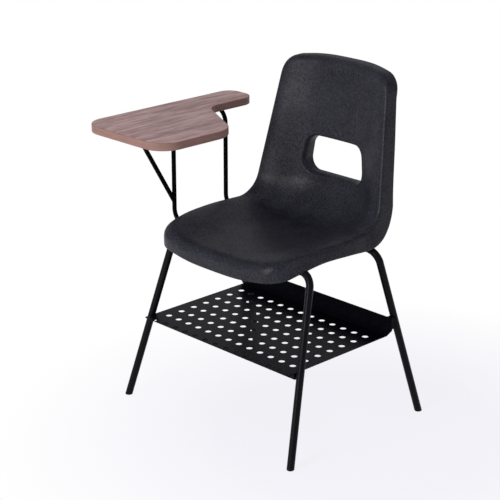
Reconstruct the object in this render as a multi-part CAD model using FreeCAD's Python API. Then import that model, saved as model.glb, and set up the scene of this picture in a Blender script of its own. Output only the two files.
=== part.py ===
"""Classroom chair: moulded shell on a steel tube frame, with a tablet arm and a book rack.

X runs to the sitter's left, Y to the back and Z up, in millimetres. Everything is first placed
from the middle between the four feet, and at the end the whole chair is moved so that its
origin is the middle of its outer box on the floor.
"""
import FreeCAD, Part
import math
import os

# Steel tube and rod
tube_diameter = 16.0
tube_wall = 1.5
leg_bend_radius = 31.0
rod_diameter = 10.0

# Legs: two inverted U frames that splay outwards and away from each other
feet_across = 511.4
feet_along = 402.8
tops_across = 409.4
front_bar_from_middle = 94.5
rear_bar_from_middle = 106.7
bar_height = 382.0

# Feet
glide_height = 7.0
glide_stem = 20.0
glide_edge_radius = 1.5
stem_clearance = 0.15

# Straps that tie the two leg frames from below and carry the shell
strap_width = 30.0
strap_thickness = 3.0
strap_spacing = 180.0
strap_overhang = 5.0
strap_corner_radius = 5.0

# Shell: side view of the sitting face along its edges and along its middle
seat_front = 157.7
seat_middle_over_bar = 18.8
seat_edge_rise = 21.4
seat_rear_sink = 4.0
edge_front_droop = 11.0
middle_front_droop = 2.6
droop_start = 55.0
edge_bend_radius = 59.1
edge_lean_angle = 10.7
edge_back_y = 139.0
edge_back_rise = 65.4
middle_bend_radius = 85.0
middle_lean_angle = 3.0
middle_back_y = 194.0
middle_back_rise = 139.2
back_rise = 329.5
back_top_crown = 5.6

# Shell: half widths of the sitting face
front_half_width = 166.3
seat_half_width = 189.9
bend_half_width = 180.1
top_half_width = 148.0
widest_y = 10.0
bend_width_y = 130.0
front_corner_radius = 33.4
top_corner_radius = 34.0

# Shell: wall, and the radii of the rolled edge on the inner side of the wall
shell_wall = 4.5
front_corner_roll = 1.5
seat_roll = 7.6
bend_roll = 3.8
back_roll = 1.0
front_roll = 17.8
top_roll = 11.2

# Shell: depth and draft of the flange that hangs from the rolled edge
front_corner_flange = 38.4
seat_front_flange = 18.3
seat_rear_flange = 28.9
bend_flange = 35.4
back_low_flange = 31.4
back_flange = 29.3
top_corner_flange = 25.3
front_flange = 18.9
top_flange = 17.9
front_draft_angle = 4.6
seat_draft_angle = 14.1
bend_draft_angle = 16.3
back_draft_angle = 5.2

# Shell: hand opening, wider at its lower end, with a lip that runs rearwards
hand_low_width = 180.8
hand_high_width = 151.2
hand_height = 80.8
hand_rise = 123.9
hand_corner_radius = 26.0
lip_wall = 3.5
lip_depth = 20.0

# Shell: screw bosses below the seat
boss_diameter = 16.0
boss_hole_depth = 12.0
front_boss_y = -77.0
rear_boss_y = 70.0

# Shell screws, driven from below
shell_screw_diameter = 5.0
shell_screw_head = 9.5
shell_screw_head_height = 3.2
shell_screw_in_boss = 11.0
screw_clearance = 0.25
washer_diameter = 13.0
washer_thickness = 1.2

# Rods that hold the tablet beside the sitter's right hand
upright_from_middle = 246.0
front_upright_y = -63.3
rear_upright_y = 93.6
upright_low_bend = 34.0
upright_top_bend = 32.0
upright_reach = 44.0
brace_foot_rise = 46.0
brace_head_y = -174.5
plate_length = 36.0
plate_width = 32.0
plate_thickness = 3.0
plate_corner_radius = 4.0
plate_edge_margin = 7.0

# Tablet board: writing board in front, narrower arm rest behind
tablet_rise = 253.9
tablet_thickness = 16.9
laminate_thickness = 1.0
band_thickness = 1.5
band_edge_radius = 1.2
tablet_length = 432.5
tablet_front_past_upright = 208.4
arm_outer_past_upright = 56.8
tablet_width = 258.0
arm_width = 87.0
board_side_length = 196.4
notch_length = 90.8
board_outer_radius = 54.0
board_inner_radius = 52.0
board_shoulder_radius = 64.0
notch_radius = 54.0
arm_inner_radius = 36.0
arm_outer_radius = 29.0

# Wood screws that hold the tablet on its plates
tablet_screw_diameter = 4.0
tablet_screw_head = 8.0
tablet_screw_head_height = 2.4
tablet_screw_in_board = 12.0
tablet_screw_spacing = 22.0

# Book rack: pierced sheet between the legs
rack_sheet = 1.5
rack_top_height = 190.0
rack_front_past_legs = 29.4
rack_leg_clearance = 0.3
rack_corner_radius = 3.0
rack_hole_diameter = 14.0
rack_hole_columns = 13
rack_hole_rows = 8
rack_column_pitch = 32.0
rack_row_pitch = 37.0
rack_first_row = 8.8
rack_rib_drop = 19.0
rack_rib_past_legs = 1.8
rack_rib_inset = 7.0
rack_back_rise = 44.0
rack_back_past_legs = 9.7
rack_back_shoulder = 15.0
ear_length = 16.0
ear_drop = 15.0
ear_corner_radius = 4.0

# Bolts of the book rack, whose nuts sit inside the leg tubes
rack_bolt_diameter = 5.0
rack_bolt_head = 9.0
rack_bolt_head_height = 3.0
rack_nut_width = 8.0
rack_nut_height = 4.0
rack_bolt_clearance = 0.3
rack_bolt_tail = 1.0
nut_before_tube_middle = 3.8
front_bolt_drop = 8.0
rear_bolt_rise = 30.0
spacer_width = 14.0
spacer_height = 26.0
spacer_length = 11.8
spacer_past_tube = 4.5

# Grid of the shell's spline faces: a middle patch and four strips round it
middle_patch_share = 0.72
middle_patch_margin = 46.0
side_steps = 38
end_steps = 18

# How far a cutting shape runs past what it cuts
overrun = 4.0

tube_radius = tube_diameter / 2
rod_radius = rod_diameter / 2
foot_x = feet_across / 2
foot_y = feet_along / 2
bar_x = tops_across / 2
strap_x = strap_spacing / 2
strap_top = bar_height - tube_radius
strap_bottom = strap_top - strap_thickness
rod_height = strap_top + rod_radius
seat_middle_height = bar_height + seat_middle_over_bar
seat_edge_height = seat_middle_height + seat_edge_rise
edge_back_height = seat_edge_height + edge_back_rise
middle_back_height = seat_middle_height + middle_back_rise
back_top_height = seat_middle_height + back_rise
hand_middle_height = seat_middle_height + hand_rise
brace_foot_height = bar_height + brace_foot_rise
tablet_top_height = bar_height + tablet_rise
tablet_bottom = tablet_top_height - tablet_thickness
rod_top_height = tablet_bottom - plate_thickness - rod_radius

along_x = FreeCAD.Vector(1, 0, 0)
along_y = FreeCAD.Vector(0, 1, 0)
along_z = FreeCAD.Vector(0, 0, 1)


# General shapes


def vector(x, y, z):
    return FreeCAD.Vector(x, y, z)


def cylinder(base, axis, diameter, length):
    return Part.makeCylinder(diameter / 2, length, base, axis)


def block(low, high):
    return Part.makeBox(high.x - low.x, high.y - low.y, high.z - low.z, low)


def rounded_path(corners, radii, closed):
    """Straight runs joined by tangent arcs, one arc for each inner corner."""
    count = len(corners)
    turning = range(count) if closed else range(1, count - 1)
    joints = {}
    for index in turning:
        here = corners[index]
        before = (here - corners[index - 1]).normalize()
        after = (corners[(index + 1) % count] - here).normalize()
        radius = radii[index if closed else index - 1]
        half_turn = before.getAngle(after) / 2
        reach = radius * math.tan(half_turn)
        inward = (after - before).normalize()
        middle = here + inward * (radius / math.cos(half_turn) - radius)
        joints[index] = (here - before * reach, middle, here + after * reach)
    edges = []
    last = count if closed else count - 1
    for index in range(last):
        following = (index + 1) % count
        start = joints[index][2] if index in joints else corners[index]
        end = joints[following][0] if following in joints else corners[following]
        edges.append(Part.LineSegment(start, end).toShape())
        if following in joints:
            edges.append(Part.Arc(*joints[following]).toShape())
    return Part.Wire(Part.__sortEdges__(edges))


def bent_bar(corners, radii, diameter):
    """Round bar that follows a path of straight runs and arcs."""
    path = rounded_path(corners, radii, False)
    section = Part.makeCircle(diameter / 2, corners[0], corners[1] - corners[0])
    return path.makePipeShell([Part.Wire([section])], True, False)


def plate(corners, radii, thickness):
    """Flat plate with rounded corners, standing up from the height of its corners."""
    outline = rounded_path(corners, radii, True)
    return Part.Face(outline).extrude(along_z * thickness)


def rectangle(middle, length_x, length_y):
    """Corners of a level rectangle, anticlockwise seen from above."""
    signs = ((-1, -1), (1, -1), (1, 1), (-1, 1))
    return [middle + vector(a * length_x / 2, b * length_y / 2, 0) for a, b in signs]


def hexagon_nut(base, axis, width, height, bore):
    """Hexagon nut whose lower face is centred on base."""
    corner_radius = width / math.sqrt(3)
    side = axis.cross(along_z if abs(axis.z) < 0.5 else along_x).normalize()
    other = axis.cross(side).normalize()
    corners = []
    for index in range(7):
        angle = math.pi / 3 * index
        corners.append(base + (side * math.cos(angle) + other * math.sin(angle)) * corner_radius)
    body = Part.Face(Part.makePolygon(corners)).extrude(axis * height)
    return body.cut(cylinder(base - axis * overrun, axis, bore, height + 2 * overrun))


def headed_bolt(seat, axis, shank, length, head, head_height):
    """Bolt whose head rests against seat and whose shank runs along axis from there."""
    body = cylinder(seat - axis * head_height, axis, head, head_height)
    edge = [e for e in body.Edges if e.Closed and e.BoundBox.Center.distanceToPoint(seat) > head_height / 2]
    body = body.makeFillet(head_height * 0.6, edge)
    return body.fuse(cylinder(seat, axis, shank, length)).removeSplitter()


# Legs and feet


def leg_line(side_x, side_y, height):
    """Centre of a leg at a height; side_x is 1 for the sitter's left, side_y is 1 for the rear."""
    bar_y = rear_bar_from_middle if side_y > 0 else front_bar_from_middle
    share = height / bar_height
    return vector(
        side_x * (foot_x + (bar_x - foot_x) * share),
        side_y * (foot_y + (bar_y - foot_y) * share),
        height,
    )


def leg_direction(side_x, side_y):
    return (leg_line(side_x, side_y, bar_height) - leg_line(side_x, side_y, 0)).normalize()


def leg_bar(side_y, diameter):
    """Solid inverted U, run a little below the floor so that it can be cut level."""
    low_left = leg_line(1, side_y, -tube_diameter)
    top_left = leg_line(1, side_y, bar_height)
    top_right = leg_line(-1, side_y, bar_height)
    low_right = leg_line(-1, side_y, -tube_diameter)
    return bent_bar([low_left, top_left, top_right, low_right], [leg_bend_radius] * 2, diameter)


def below(height):
    """Block that holds everything of the legs below a height."""
    reach = vector(feet_across, feet_along, 0)
    return block(-reach - along_z * 2 * tube_diameter, reach + along_z * height)


def leg_frame(side_y, cuts):
    tube = leg_bar(side_y, tube_diameter).cut(leg_bar(side_y, tube_diameter - 2 * tube_wall))
    return tube.cut(below(glide_height)).cut(cuts)


def foot_glide(side_x, side_y):
    """Plastic plug: a head as wide as the tube, flat on the floor, and a stem inside the tube."""
    axis = leg_direction(side_x, side_y)
    base = leg_line(side_x, side_y, -tube_diameter)
    head = cylinder(base, axis, tube_diameter, 4 * tube_diameter)
    reach = vector(tube_diameter, tube_diameter, 0) * 2
    foot = leg_line(side_x, side_y, 0)
    head = head.common(block(foot - reach, foot + reach + along_z * glide_height))
    lowest = [e for e in head.Edges if e.BoundBox.ZMax < glide_height / 2]
    head = head.makeFillet(glide_edge_radius, lowest)
    stem_diameter = tube_diameter - 2 * tube_wall - 2 * stem_clearance
    stem_base = leg_line(side_x, side_y, glide_height / 2)
    stem = cylinder(stem_base, axis, stem_diameter, glide_height / 2 + glide_stem)
    return head.fuse(stem).removeSplitter()


# Seat straps and their screws


def boss_places():
    """Boss centres in plan, as side of the chair, X and Y."""
    return [(side, side * strap_x, y) for side in (1, -1) for y in (front_boss_y, rear_boss_y)]


def seat_strap(side):
    front = -front_bar_from_middle - tube_radius - strap_overhang
    rear = rear_bar_from_middle + tube_radius + strap_overhang
    middle = vector(side * strap_x, (front + rear) / 2, strap_bottom)
    strap = plate(rectangle(middle, strap_width, rear - front), [strap_corner_radius] * 4, strap_thickness)
    for place_side, x, y in boss_places():
        if place_side == side:
            hole = shell_screw_diameter + 2 * screw_clearance
            low = vector(x, y, strap_bottom - overrun)
            strap = strap.cut(cylinder(low, along_z, hole, strap_thickness + 2 * overrun))
    return strap


def shell_washers():
    washers = []
    for side, x, y in boss_places():
        low = vector(x, y, strap_bottom - washer_thickness)
        ring = cylinder(low, along_z, washer_diameter, washer_thickness)
        hole = shell_screw_diameter + 2 * screw_clearance
        bore = cylinder(low - along_z * overrun, along_z, hole, washer_thickness + 2 * overrun)
        washers.append(ring.cut(bore))
    return Part.Compound(washers)


def shell_screws():
    screws = []
    length = washer_thickness + strap_thickness + shell_screw_in_boss
    for side, x, y in boss_places():
        seat = vector(x, y, strap_bottom - washer_thickness)
        screws.append(headed_bolt(seat, along_z, shell_screw_diameter, length,
                                  shell_screw_head, shell_screw_head_height))
    return Part.Compound(screws)


# Shell: the sitting face as a formula


def rail(front, height, radius, lean, back_y, back_height, top):
    """Side view of a seat line, a bend and a leaning back line, as a function of a share."""
    turn = math.pi / 2 - lean
    start = back_y + (height - back_height) * math.tan(lean) - radius * math.tan(turn / 2)
    end_y = start + radius * math.sin(turn)
    end_z = height + radius * (1 - math.cos(turn))

    def point(share):
        if share <= bend_start_share:
            return front + (start - front) * share / bend_start_share, height
        if share <= bend_end_share:
            angle = turn * (share - bend_start_share) / (bend_end_share - bend_start_share)
            return start + radius * math.sin(angle), height + radius * (1 - math.cos(angle))
        rise = (top - end_z) * (share - bend_end_share) / (1 - bend_end_share)
        return end_y + rise * math.tan(lean), end_z + rise

    return point


edge_lean = math.radians(edge_lean_angle)
edge_turn = math.pi / 2 - edge_lean
edge_bend_start = (edge_back_y + (seat_edge_height - edge_back_height) * math.tan(edge_lean)
                   - edge_bend_radius * math.tan(edge_turn / 2))
edge_bend_top = seat_edge_height + edge_bend_radius * (1 - math.cos(edge_turn))
seat_run = edge_bend_start + seat_front
bend_run = edge_bend_radius * edge_turn
back_run = (back_top_height - back_top_crown / 2 - edge_bend_top) / math.cos(edge_lean)
face_length = seat_run + bend_run + back_run
bend_start_share = seat_run / face_length
bend_end_share = (seat_run + bend_run) / face_length

edge_rail = rail(-seat_front, seat_edge_height, edge_bend_radius, edge_lean,
                 edge_back_y, edge_back_height, back_top_height - back_top_crown)
middle_rail = rail(-seat_front, seat_middle_height - seat_rear_sink, middle_bend_radius,
                   math.radians(middle_lean_angle), middle_back_y, middle_back_height, back_top_height)


def half_width(share):
    """Half width of the sitting face: widest beside the hips, narrower to the knees and the top."""
    if share > bend_end_share:
        rise = (share - bend_end_share) / (1 - bend_end_share)
        return bend_half_width + (top_half_width - bend_half_width) * rise
    y = min(edge_rail(share)[0], edge_bend_start)
    if y < widest_y:
        forward = (widest_y - y) / (widest_y + seat_front)
        return seat_half_width + (front_half_width - seat_half_width) * forward ** 1.5
    back = (y - widest_y) / (bend_width_y - widest_y)
    width = seat_half_width + (bend_half_width - seat_half_width) * back ** 1.5
    if share > bend_start_share:
        rise = (share - bend_start_share) / (bend_end_share - bend_start_share)
        width = width + (bend_half_width - width) * rise
    return width


def droop(share, y, depth):
    """Drop of the front of the seat, which grows towards the front edge."""
    if share >= bend_start_share or y > -droop_start:
        return 0
    return depth * ((-droop_start - y) / (seat_front - droop_start)) ** 2.2


def face_point(across_share, share):
    """Point of the sitting face; across_share is 1 at the sitter's left edge and -1 at the right."""
    edge_y, edge_z = edge_rail(share)
    middle_y, middle_z = middle_rail(share)
    middle_z = middle_z + seat_rear_sink * max(0, 1 - share / bend_start_share)
    edge_z = edge_z - droop(share, edge_y, edge_front_droop)
    middle_z = middle_z - droop(share, middle_y, middle_front_droop)
    dish = math.sin(math.pi / 2 * min(1, abs(across_share)) ** 1.7) ** 2
    return vector(
        across_share * half_width(share),
        middle_y + (edge_y - middle_y) * dish,
        middle_z + (edge_z - middle_z) * dish,
    )


def face_axes(across_share, share):
    """Unit vectors at a point of the face: away from the sitter, to the left, and along."""
    step = 0.0001
    low = max(0, share - step)
    high = min(1, share + step)
    across = (face_point(across_share + step, share) - face_point(across_share - step, share)).normalize()
    along = (face_point(across_share, high) - face_point(across_share, low)).normalize()
    return along.cross(across).normalize(), across, along


# Shell: outline of the face in the unrolled plane


def outline_corner(side, end, angle):
    """Point on a rounded corner: angle 0 is at the side, a right angle at the front or top edge."""
    radius = top_corner_radius if end > 0 else front_corner_radius
    inset = radius * (1 - math.sin(angle))
    along = face_length - inset if end > 0 else inset
    across = half_width(along / face_length) - radius * (1 - math.cos(angle))
    return side * across, along, side * math.cos(angle), end * math.sin(angle)


def outline_side(side, count):
    """Left or right edge from the middle of the front corner to the middle of the top corner."""
    points = [outline_corner(side, -1, math.pi / 4 * (3 - i) / 3) for i in range(3)]
    for i in range(count + 1):
        along = front_corner_radius + (face_length - top_corner_radius - front_corner_radius) * i / count
        points.append((side * half_width(along / face_length), along, side, 0))
    points += [outline_corner(side, 1, math.pi / 4 * (i + 1) / 3) for i in range(3)]
    return points


def outline_end(end, count):
    """Front or top edge from the left corner's middle to the right corner's middle."""
    radius = top_corner_radius if end > 0 else front_corner_radius
    reach = half_width((1 + end) / 2) - radius
    along = face_length * (1 + end) / 2
    points = [outline_corner(1, end, math.pi / 4 * (3 + i) / 3) for i in range(3)]
    for i in range(count + 1):
        points.append((reach - 2 * reach * i / count, along, 0, end))
    points += [outline_corner(-1, end, math.pi / 4 * (5 - i) / 3) for i in range(3)]
    return points


def blend(share):
    share = min(1, max(0, share))
    return share * share * (3 - 2 * share)


def stepped(share, places, values):
    """Value that goes from one place to the next in soft steps."""
    value = values[0]
    for index in range(len(places) - 1):
        part = (share - places[index]) / (places[index + 1] - places[index])
        value += (values[index + 1] - values[index]) * blend(part)
    return value


def curved(share, places, values):
    """Value on a smooth curve through the values at their places, level at both ends."""
    slopes = [0]
    for index in range(1, len(places) - 1):
        slopes.append((values[index + 1] - values[index - 1]) / (places[index + 1] - places[index - 1]))
    slopes.append(0)
    index = 0
    while index < len(places) - 2 and share > places[index + 1]:
        index += 1
    run = places[index + 1] - places[index]
    part = min(1, max(0, (share - places[index]) / run))
    rest = 1 - part
    ends = values[index] * rest * rest * (1 + 2 * part) + values[index + 1] * part * part * (1 + 2 * rest)
    return ends + run * part * rest * (slopes[index] * rest - slopes[index + 1] * part)


def rim_sizes(share, front, top):
    """Outer radius of the roll, and depth and draft of the flange, at a share of the face's length.

    front and top are 1 on the front and the top edge and 0 on the sides.
    """
    seat_share = bend_start_share / 2
    bend_share = (bend_start_share + bend_end_share) / 2
    back_low_share = 2 * bend_end_share - bend_share
    back_share = (bend_end_share + 1) / 2
    places = (0, seat_share, bend_start_share, bend_end_share)
    roll = stepped(share, places, (front_corner_roll, seat_roll, bend_roll, back_roll))
    draft = stepped(share, places, (front_draft_angle, seat_draft_angle, bend_draft_angle, back_draft_angle))
    places = (0, seat_share, bend_start_share, bend_share, back_low_share, back_share, 1)
    depth = curved(share, places, (front_corner_flange, seat_front_flange, seat_rear_flange, bend_flange,
                                   back_low_flange, back_flange, top_corner_flange))
    roll = roll + (front_roll - roll) * front + (top_roll - roll) * top
    depth = depth + (front_flange - depth) * front + (top_flange - depth) * top
    draft = draft + (front_draft_angle - draft) * front
    return shell_wall + roll, depth, math.radians(draft)


def face_and_rim(outline_point, inner_point, inset):
    """Points from the inner patch over the face's edge and round the roll to the flange's end."""
    across, along, out_across, out_along = outline_point
    points = []
    for step in range(5):
        part_along = inner_point[1] + (along - inner_point[1]) * step / 4
        part_across = inner_point[0] + (across - inner_point[0]) * step / 4
        share = min(1, max(0, part_along / face_length))
        points.append(offset_point(part_across / half_width(share), share, inset))
    share = along / face_length
    across_share = across / half_width(share)
    away, left, up = face_axes(across_share, share)
    outward = left * out_across + up * out_along
    outward = (outward - away * outward.dot(away)).normalize()
    roll, depth, draft = rim_sizes(share, blend(-out_along), blend(out_along))
    start = face_point(across_share, share)
    for step in range(1, 5):
        angle = (math.pi / 2 - draft) * step / 4
        sideways = outward * (roll - inset) * math.sin(angle)
        points.append(start + sideways + away * (roll - (roll - inset) * math.cos(angle)))
    last = points[-1]
    for step in range(1, 4):
        points.append(last + (away * math.cos(draft) + outward * math.sin(draft)) * depth * step / 3)
    return points


def offset_point(across_share, share, inset):
    away = face_axes(across_share, share)[0]
    return face_point(across_share, share) + away * inset


def clamped(count, degree):
    """Knots and multiplicities of a uniform spline that reaches its first and last pole."""
    knots = list(range(count - degree + 1))
    multiplicities = [degree + 1] + [1] * (len(knots) - 2) + [degree + 1]
    return knots, multiplicities


def smooth_face(rows):
    """Spline face that follows a grid of points and ends on its outer rows."""
    degree_one = min(3, len(rows) - 1)
    degree_two = min(3, len(rows[0]) - 1)
    knots_one, counts_one = clamped(len(rows), degree_one)
    knots_two, counts_two = clamped(len(rows[0]), degree_two)
    surface = Part.BSplineSurface()
    surface.buildFromPolesMultsKnots(rows, counts_one, counts_two, knots_one, knots_two,
                                     False, False, degree_one, degree_two)
    return surface.toShape()


def shell_surface(inset):
    """Face, roll and flange of one side of the wall, and the ends of its flanges."""
    rows = side_steps + 7
    columns = end_steps + 7
    low = middle_patch_margin
    high = face_length - middle_patch_margin

    def inner(column, row):
        along = low + (high - low) * row / (rows - 1)
        across_share = middle_patch_share * (1 - 2 * column / (columns - 1))
        return across_share * half_width(along / face_length), along

    def inner_spot(column, row):
        across, along = inner(column, row)
        return offset_point(across / half_width(along / face_length), along / face_length, inset)

    patch = [[inner_spot(column, row) for row in range(rows)] for column in range(columns)]
    faces = [smooth_face(patch)]
    flange_ends = []
    sides = (
        (outline_side(1, side_steps), lambda index: (0, index)),
        (outline_side(-1, side_steps), lambda index: (columns - 1, index)),
        (outline_end(1, end_steps), lambda index: (index, rows - 1)),
        (outline_end(-1, end_steps), lambda index: (index, 0)),
    )
    for outline, spot in sides:
        strips = [face_and_rim(point, inner(*spot(index)), inset) for index, point in enumerate(outline)]
        faces.append(smooth_face(strips))
        flange_ends.append([strip[-1] for strip in strips])
    return faces, flange_ends


def shell_wall_solid():
    upper_faces, upper_ends = shell_surface(0)
    lower_faces, lower_ends = shell_surface(shell_wall)
    rims = [smooth_face([upper, lower]) for upper, lower in zip(upper_ends, lower_ends)]
    skin = Part.Compound(upper_faces + lower_faces + rims)
    skin.sewShape(shell_wall / 100)
    solid = Part.Solid(skin.Shells[0])
    if solid.Volume < 0:
        solid.reverse()
    return solid


def face_height(x, y):
    """Height of the sitting face above a point in plan."""
    low = 0
    high = bend_end_share
    for step in range(40):
        share = (low + high) / 2
        point = face_point(x / half_width(share), share)
        if point.y < y:
            low = share
        else:
            high = share
    return point.z


def hand_outline(grow, y):
    """Rounded outline of the hand opening in an upright plane, made larger by grow."""
    low = hand_middle_height - hand_height / 2 - grow
    high = hand_middle_height + hand_height / 2 + grow
    low_half = hand_low_width / 2 + grow
    high_half = hand_high_width / 2 + grow
    corners = [vector(-low_half, y, low), vector(low_half, y, low),
               vector(high_half, y, high), vector(-high_half, y, high)]
    return Part.Face(rounded_path(corners, [hand_corner_radius + grow] * 4, True))


def seat_shell():
    shell = shell_wall_solid()
    lip_front = edge_back_y
    lip_rear = middle_back_y + lip_depth
    lip = hand_outline(lip_wall, lip_front).extrude(along_y * (lip_rear - lip_front))
    shell = shell.fuse(lip.cut(sitting_side_space(lip_rear - lip_front)))
    opening = hand_outline(0, lip_front - lip_depth)
    shell = shell.cut(opening.extrude(along_y * (lip_rear - lip_front + 2 * lip_depth)))
    for side, x, y in boss_places():
        top = face_height(x, y) - shell_wall / 2
        low = vector(x, y, strap_top)
        boss = cylinder(low, along_z, boss_diameter, top - strap_top)
        hole = cylinder(low - along_z * overrun, along_z,
                        shell_screw_diameter + 2 * screw_clearance, boss_hole_depth + overrun)
        shell = shell.fuse(boss).cut(hole)
    return shell.removeSplitter()


def sitting_side_space(depth):
    """Space in front of the middle of the back's wall, round the hand opening."""
    half = hand_low_width / 2 + 4 * lip_wall
    low_share = share_at_height(hand_middle_height - hand_height / 2 - 4 * lip_wall)
    high_share = share_at_height(hand_middle_height + hand_height / 2 + 4 * lip_wall)
    steps = 12
    columns = []
    for column in range(steps + 1):
        x = half * (1 - 2 * column / steps)
        shares = [low_share + (high_share - low_share) * row / steps for row in range(steps + 1)]
        columns.append([offset_point(x / half_width(share), share, shell_wall / 2) for share in shares])
    return smooth_face(columns).extrude(-along_y * depth)


def share_at_height(height):
    """Share of the face's length at which its middle line has a height on the back."""
    low = bend_start_share
    high = 1
    for step in range(40):
        share = (low + high) / 2
        if face_point(0, share).z < height:
            low = share
        else:
            high = share
    return share


# Rods and plates below the tablet


def upright(y):
    corners = [
        vector(strap_x + strap_width / 2, y, rod_height),
        vector(-upright_from_middle, y, rod_height),
        vector(-upright_from_middle, y, rod_top_height),
        vector(-upright_from_middle - upright_reach, y, rod_top_height),
    ]
    return bent_bar(corners, [upright_low_bend, upright_top_bend], rod_diameter)


def brace(front_upright):
    foot = vector(-upright_from_middle, front_upright_y, brace_foot_height)
    head = vector(-upright_from_middle, brace_head_y, tablet_bottom - plate_thickness)
    direction = (head - foot).normalize()
    bar = cylinder(foot, direction, rod_diameter, (head - foot).Length + rod_diameter)
    reach = vector(rod_diameter, rod_diameter, 0) * 3
    above = block(head - reach, head + reach + along_z * rod_diameter * 3)
    bar = bar.cut(above).cut(front_upright)
    return max(bar.Solids, key=lambda solid: solid.Volume)


def plate_middles():
    """Middle of each mounting plate in plan, and whether its screws sit side by side along Y."""
    outer = -upright_from_middle - upright_reach - plate_edge_margin + plate_length / 2
    return {
        "front": (vector(outer, front_upright_y, 0), True),
        "rear": (vector(outer, rear_upright_y, 0), True),
        "brace": (vector(-upright_from_middle, brace_head_y, 0), False),
    }


def plate_screw_places(name):
    middle, beside = plate_middles()[name]
    half = (along_y if beside else along_x) * tablet_screw_spacing / 2
    return [middle - half, middle + half]


def tablet_plate(name):
    middle, beside = plate_middles()[name]
    length_x = plate_length if beside else plate_width
    length_y = plate_width if beside else plate_length
    base = middle + along_z * (tablet_bottom - plate_thickness)
    body = plate(rectangle(base, length_x, length_y), [plate_corner_radius] * 4, plate_thickness)
    for place in plate_screw_places(name):
        low = place + along_z * (tablet_bottom - plate_thickness - overrun)
        hole = tablet_screw_diameter + 2 * screw_clearance
        body = body.cut(cylinder(low, along_z, hole, plate_thickness + 2 * overrun))
    return body


def tablet_screws():
    screws = []
    for name in plate_middles():
        for place in plate_screw_places(name):
            seat = place + along_z * (tablet_bottom - plate_thickness)
            screws.append(headed_bolt(seat, along_z, tablet_screw_diameter,
                                      plate_thickness + tablet_screw_in_board,
                                      tablet_screw_head, tablet_screw_head_height))
    return Part.Compound(screws)


# Tablet board


def tablet_outline(height):
    front = front_upright_y - tablet_front_past_upright
    rear = front + tablet_length
    outer = -upright_from_middle - arm_outer_past_upright
    inner = outer + tablet_width
    arm_inner = outer + arm_width
    shoulder = front + board_side_length
    corners = [
        vector(outer, front, height),
        vector(inner, front, height),
        vector(inner, shoulder, height),
        vector(arm_inner, shoulder + notch_length, height),
        vector(arm_inner, rear, height),
        vector(outer, rear, height),
    ]
    radii = [board_outer_radius, board_inner_radius, board_shoulder_radius, notch_radius,
             arm_inner_radius, arm_outer_radius]
    return rounded_path(corners, radii, True)


def tablet_layer(low, high):
    """One layer of the board inside its edge band."""
    outline = tablet_outline(low).makeOffset2D(-band_thickness)
    return Part.Face(outline).extrude(along_z * (high - low))


def tablet_edge_band():
    whole = Part.Face(tablet_outline(tablet_bottom)).extrude(along_z * tablet_thickness)
    rims = [e for e in whole.Edges if e.BoundBox.ZLength < band_edge_radius / 10]
    whole = whole.makeFillet(band_edge_radius, rims)
    return whole.cut(tablet_layer(tablet_bottom, tablet_top_height))


def drill_for_tablet_screws(layer):
    for name in plate_middles():
        for place in plate_screw_places(name):
            low = place + along_z * (tablet_bottom - overrun)
            hole = tablet_screw_diameter + 2 * screw_clearance
            depth = tablet_screw_in_board + overrun + screw_clearance
            layer = layer.cut(cylinder(low, along_z, hole, depth))
    return layer


# Book rack


def front_bolt_height():
    return rack_top_height - front_bolt_drop


def rear_bolt_height():
    return rack_top_height + rear_bolt_rise


def leg_side_reach():
    """Horizontal distance from a leg's centre to its side, along X."""
    return tube_radius / leg_direction(1, 1).z


def rack_front_y():
    return leg_line(1, -1, rack_top_height).y - rack_front_past_legs


def rack_rear_y():
    return leg_line(1, 1, rear_bolt_height()).y - leg_side_reach() - spacer_length


def rack_half_width():
    return leg_line(1, -1, rack_top_height).x - leg_side_reach() - rack_leg_clearance


def upright_plate(corners, thickness, direction):
    """Plate from an outline that stands upright, as thick as given along a direction."""
    return Part.Face(Part.makePolygon(corners + corners[:1])).extrude(direction * thickness)


def rack_rib():
    """Cross rib that stands below the sheet between the front legs."""
    half = rack_half_width() - rack_rib_inset
    y = leg_line(1, -1, rack_top_height).y - rack_rib_past_legs
    low = vector(-half, y, rack_top_height - rack_rib_drop)
    return block(low, vector(half, y + rack_sheet, rack_top_height))


def rack_back():
    """Rear edge of the rack, turned up, with shoulders that reach the rear legs."""
    half = rack_half_width()
    wide = leg_line(1, 1, rear_bolt_height()).x + rack_back_past_legs
    low = rack_top_height - rack_sheet
    shoulder = rack_top_height + rack_back_shoulder
    top = rack_top_height + rack_back_rise
    y = rack_rear_y() - rack_sheet
    corners = [
        vector(-half, y, low),
        vector(half, y, low),
        vector(wide, y, shoulder),
        vector(wide, y, top),
        vector(-wide, y, top),
        vector(-wide, y, shoulder),
    ]
    return upright_plate(corners, rack_sheet, along_y)


def rack_ear(side):
    """Tab turned down beside a front leg, which takes the bolt through the leg."""
    centre = leg_line(side, -1, front_bolt_height())
    half = rack_half_width()
    x = half - rack_sheet if side > 0 else -half
    front = centre.y - ear_length / 2
    rear = centre.y + ear_length / 2
    low = rack_top_height - ear_drop
    corners = [vector(x, front, low), vector(x, rear, low), vector(x, rear, rack_top_height),
               vector(x, front, rack_top_height)]
    radii = [ear_corner_radius, ear_corner_radius, ear_corner_radius / 10, ear_corner_radius]
    return Part.Face(rounded_path(corners, radii, True)).extrude(along_x * rack_sheet)


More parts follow.
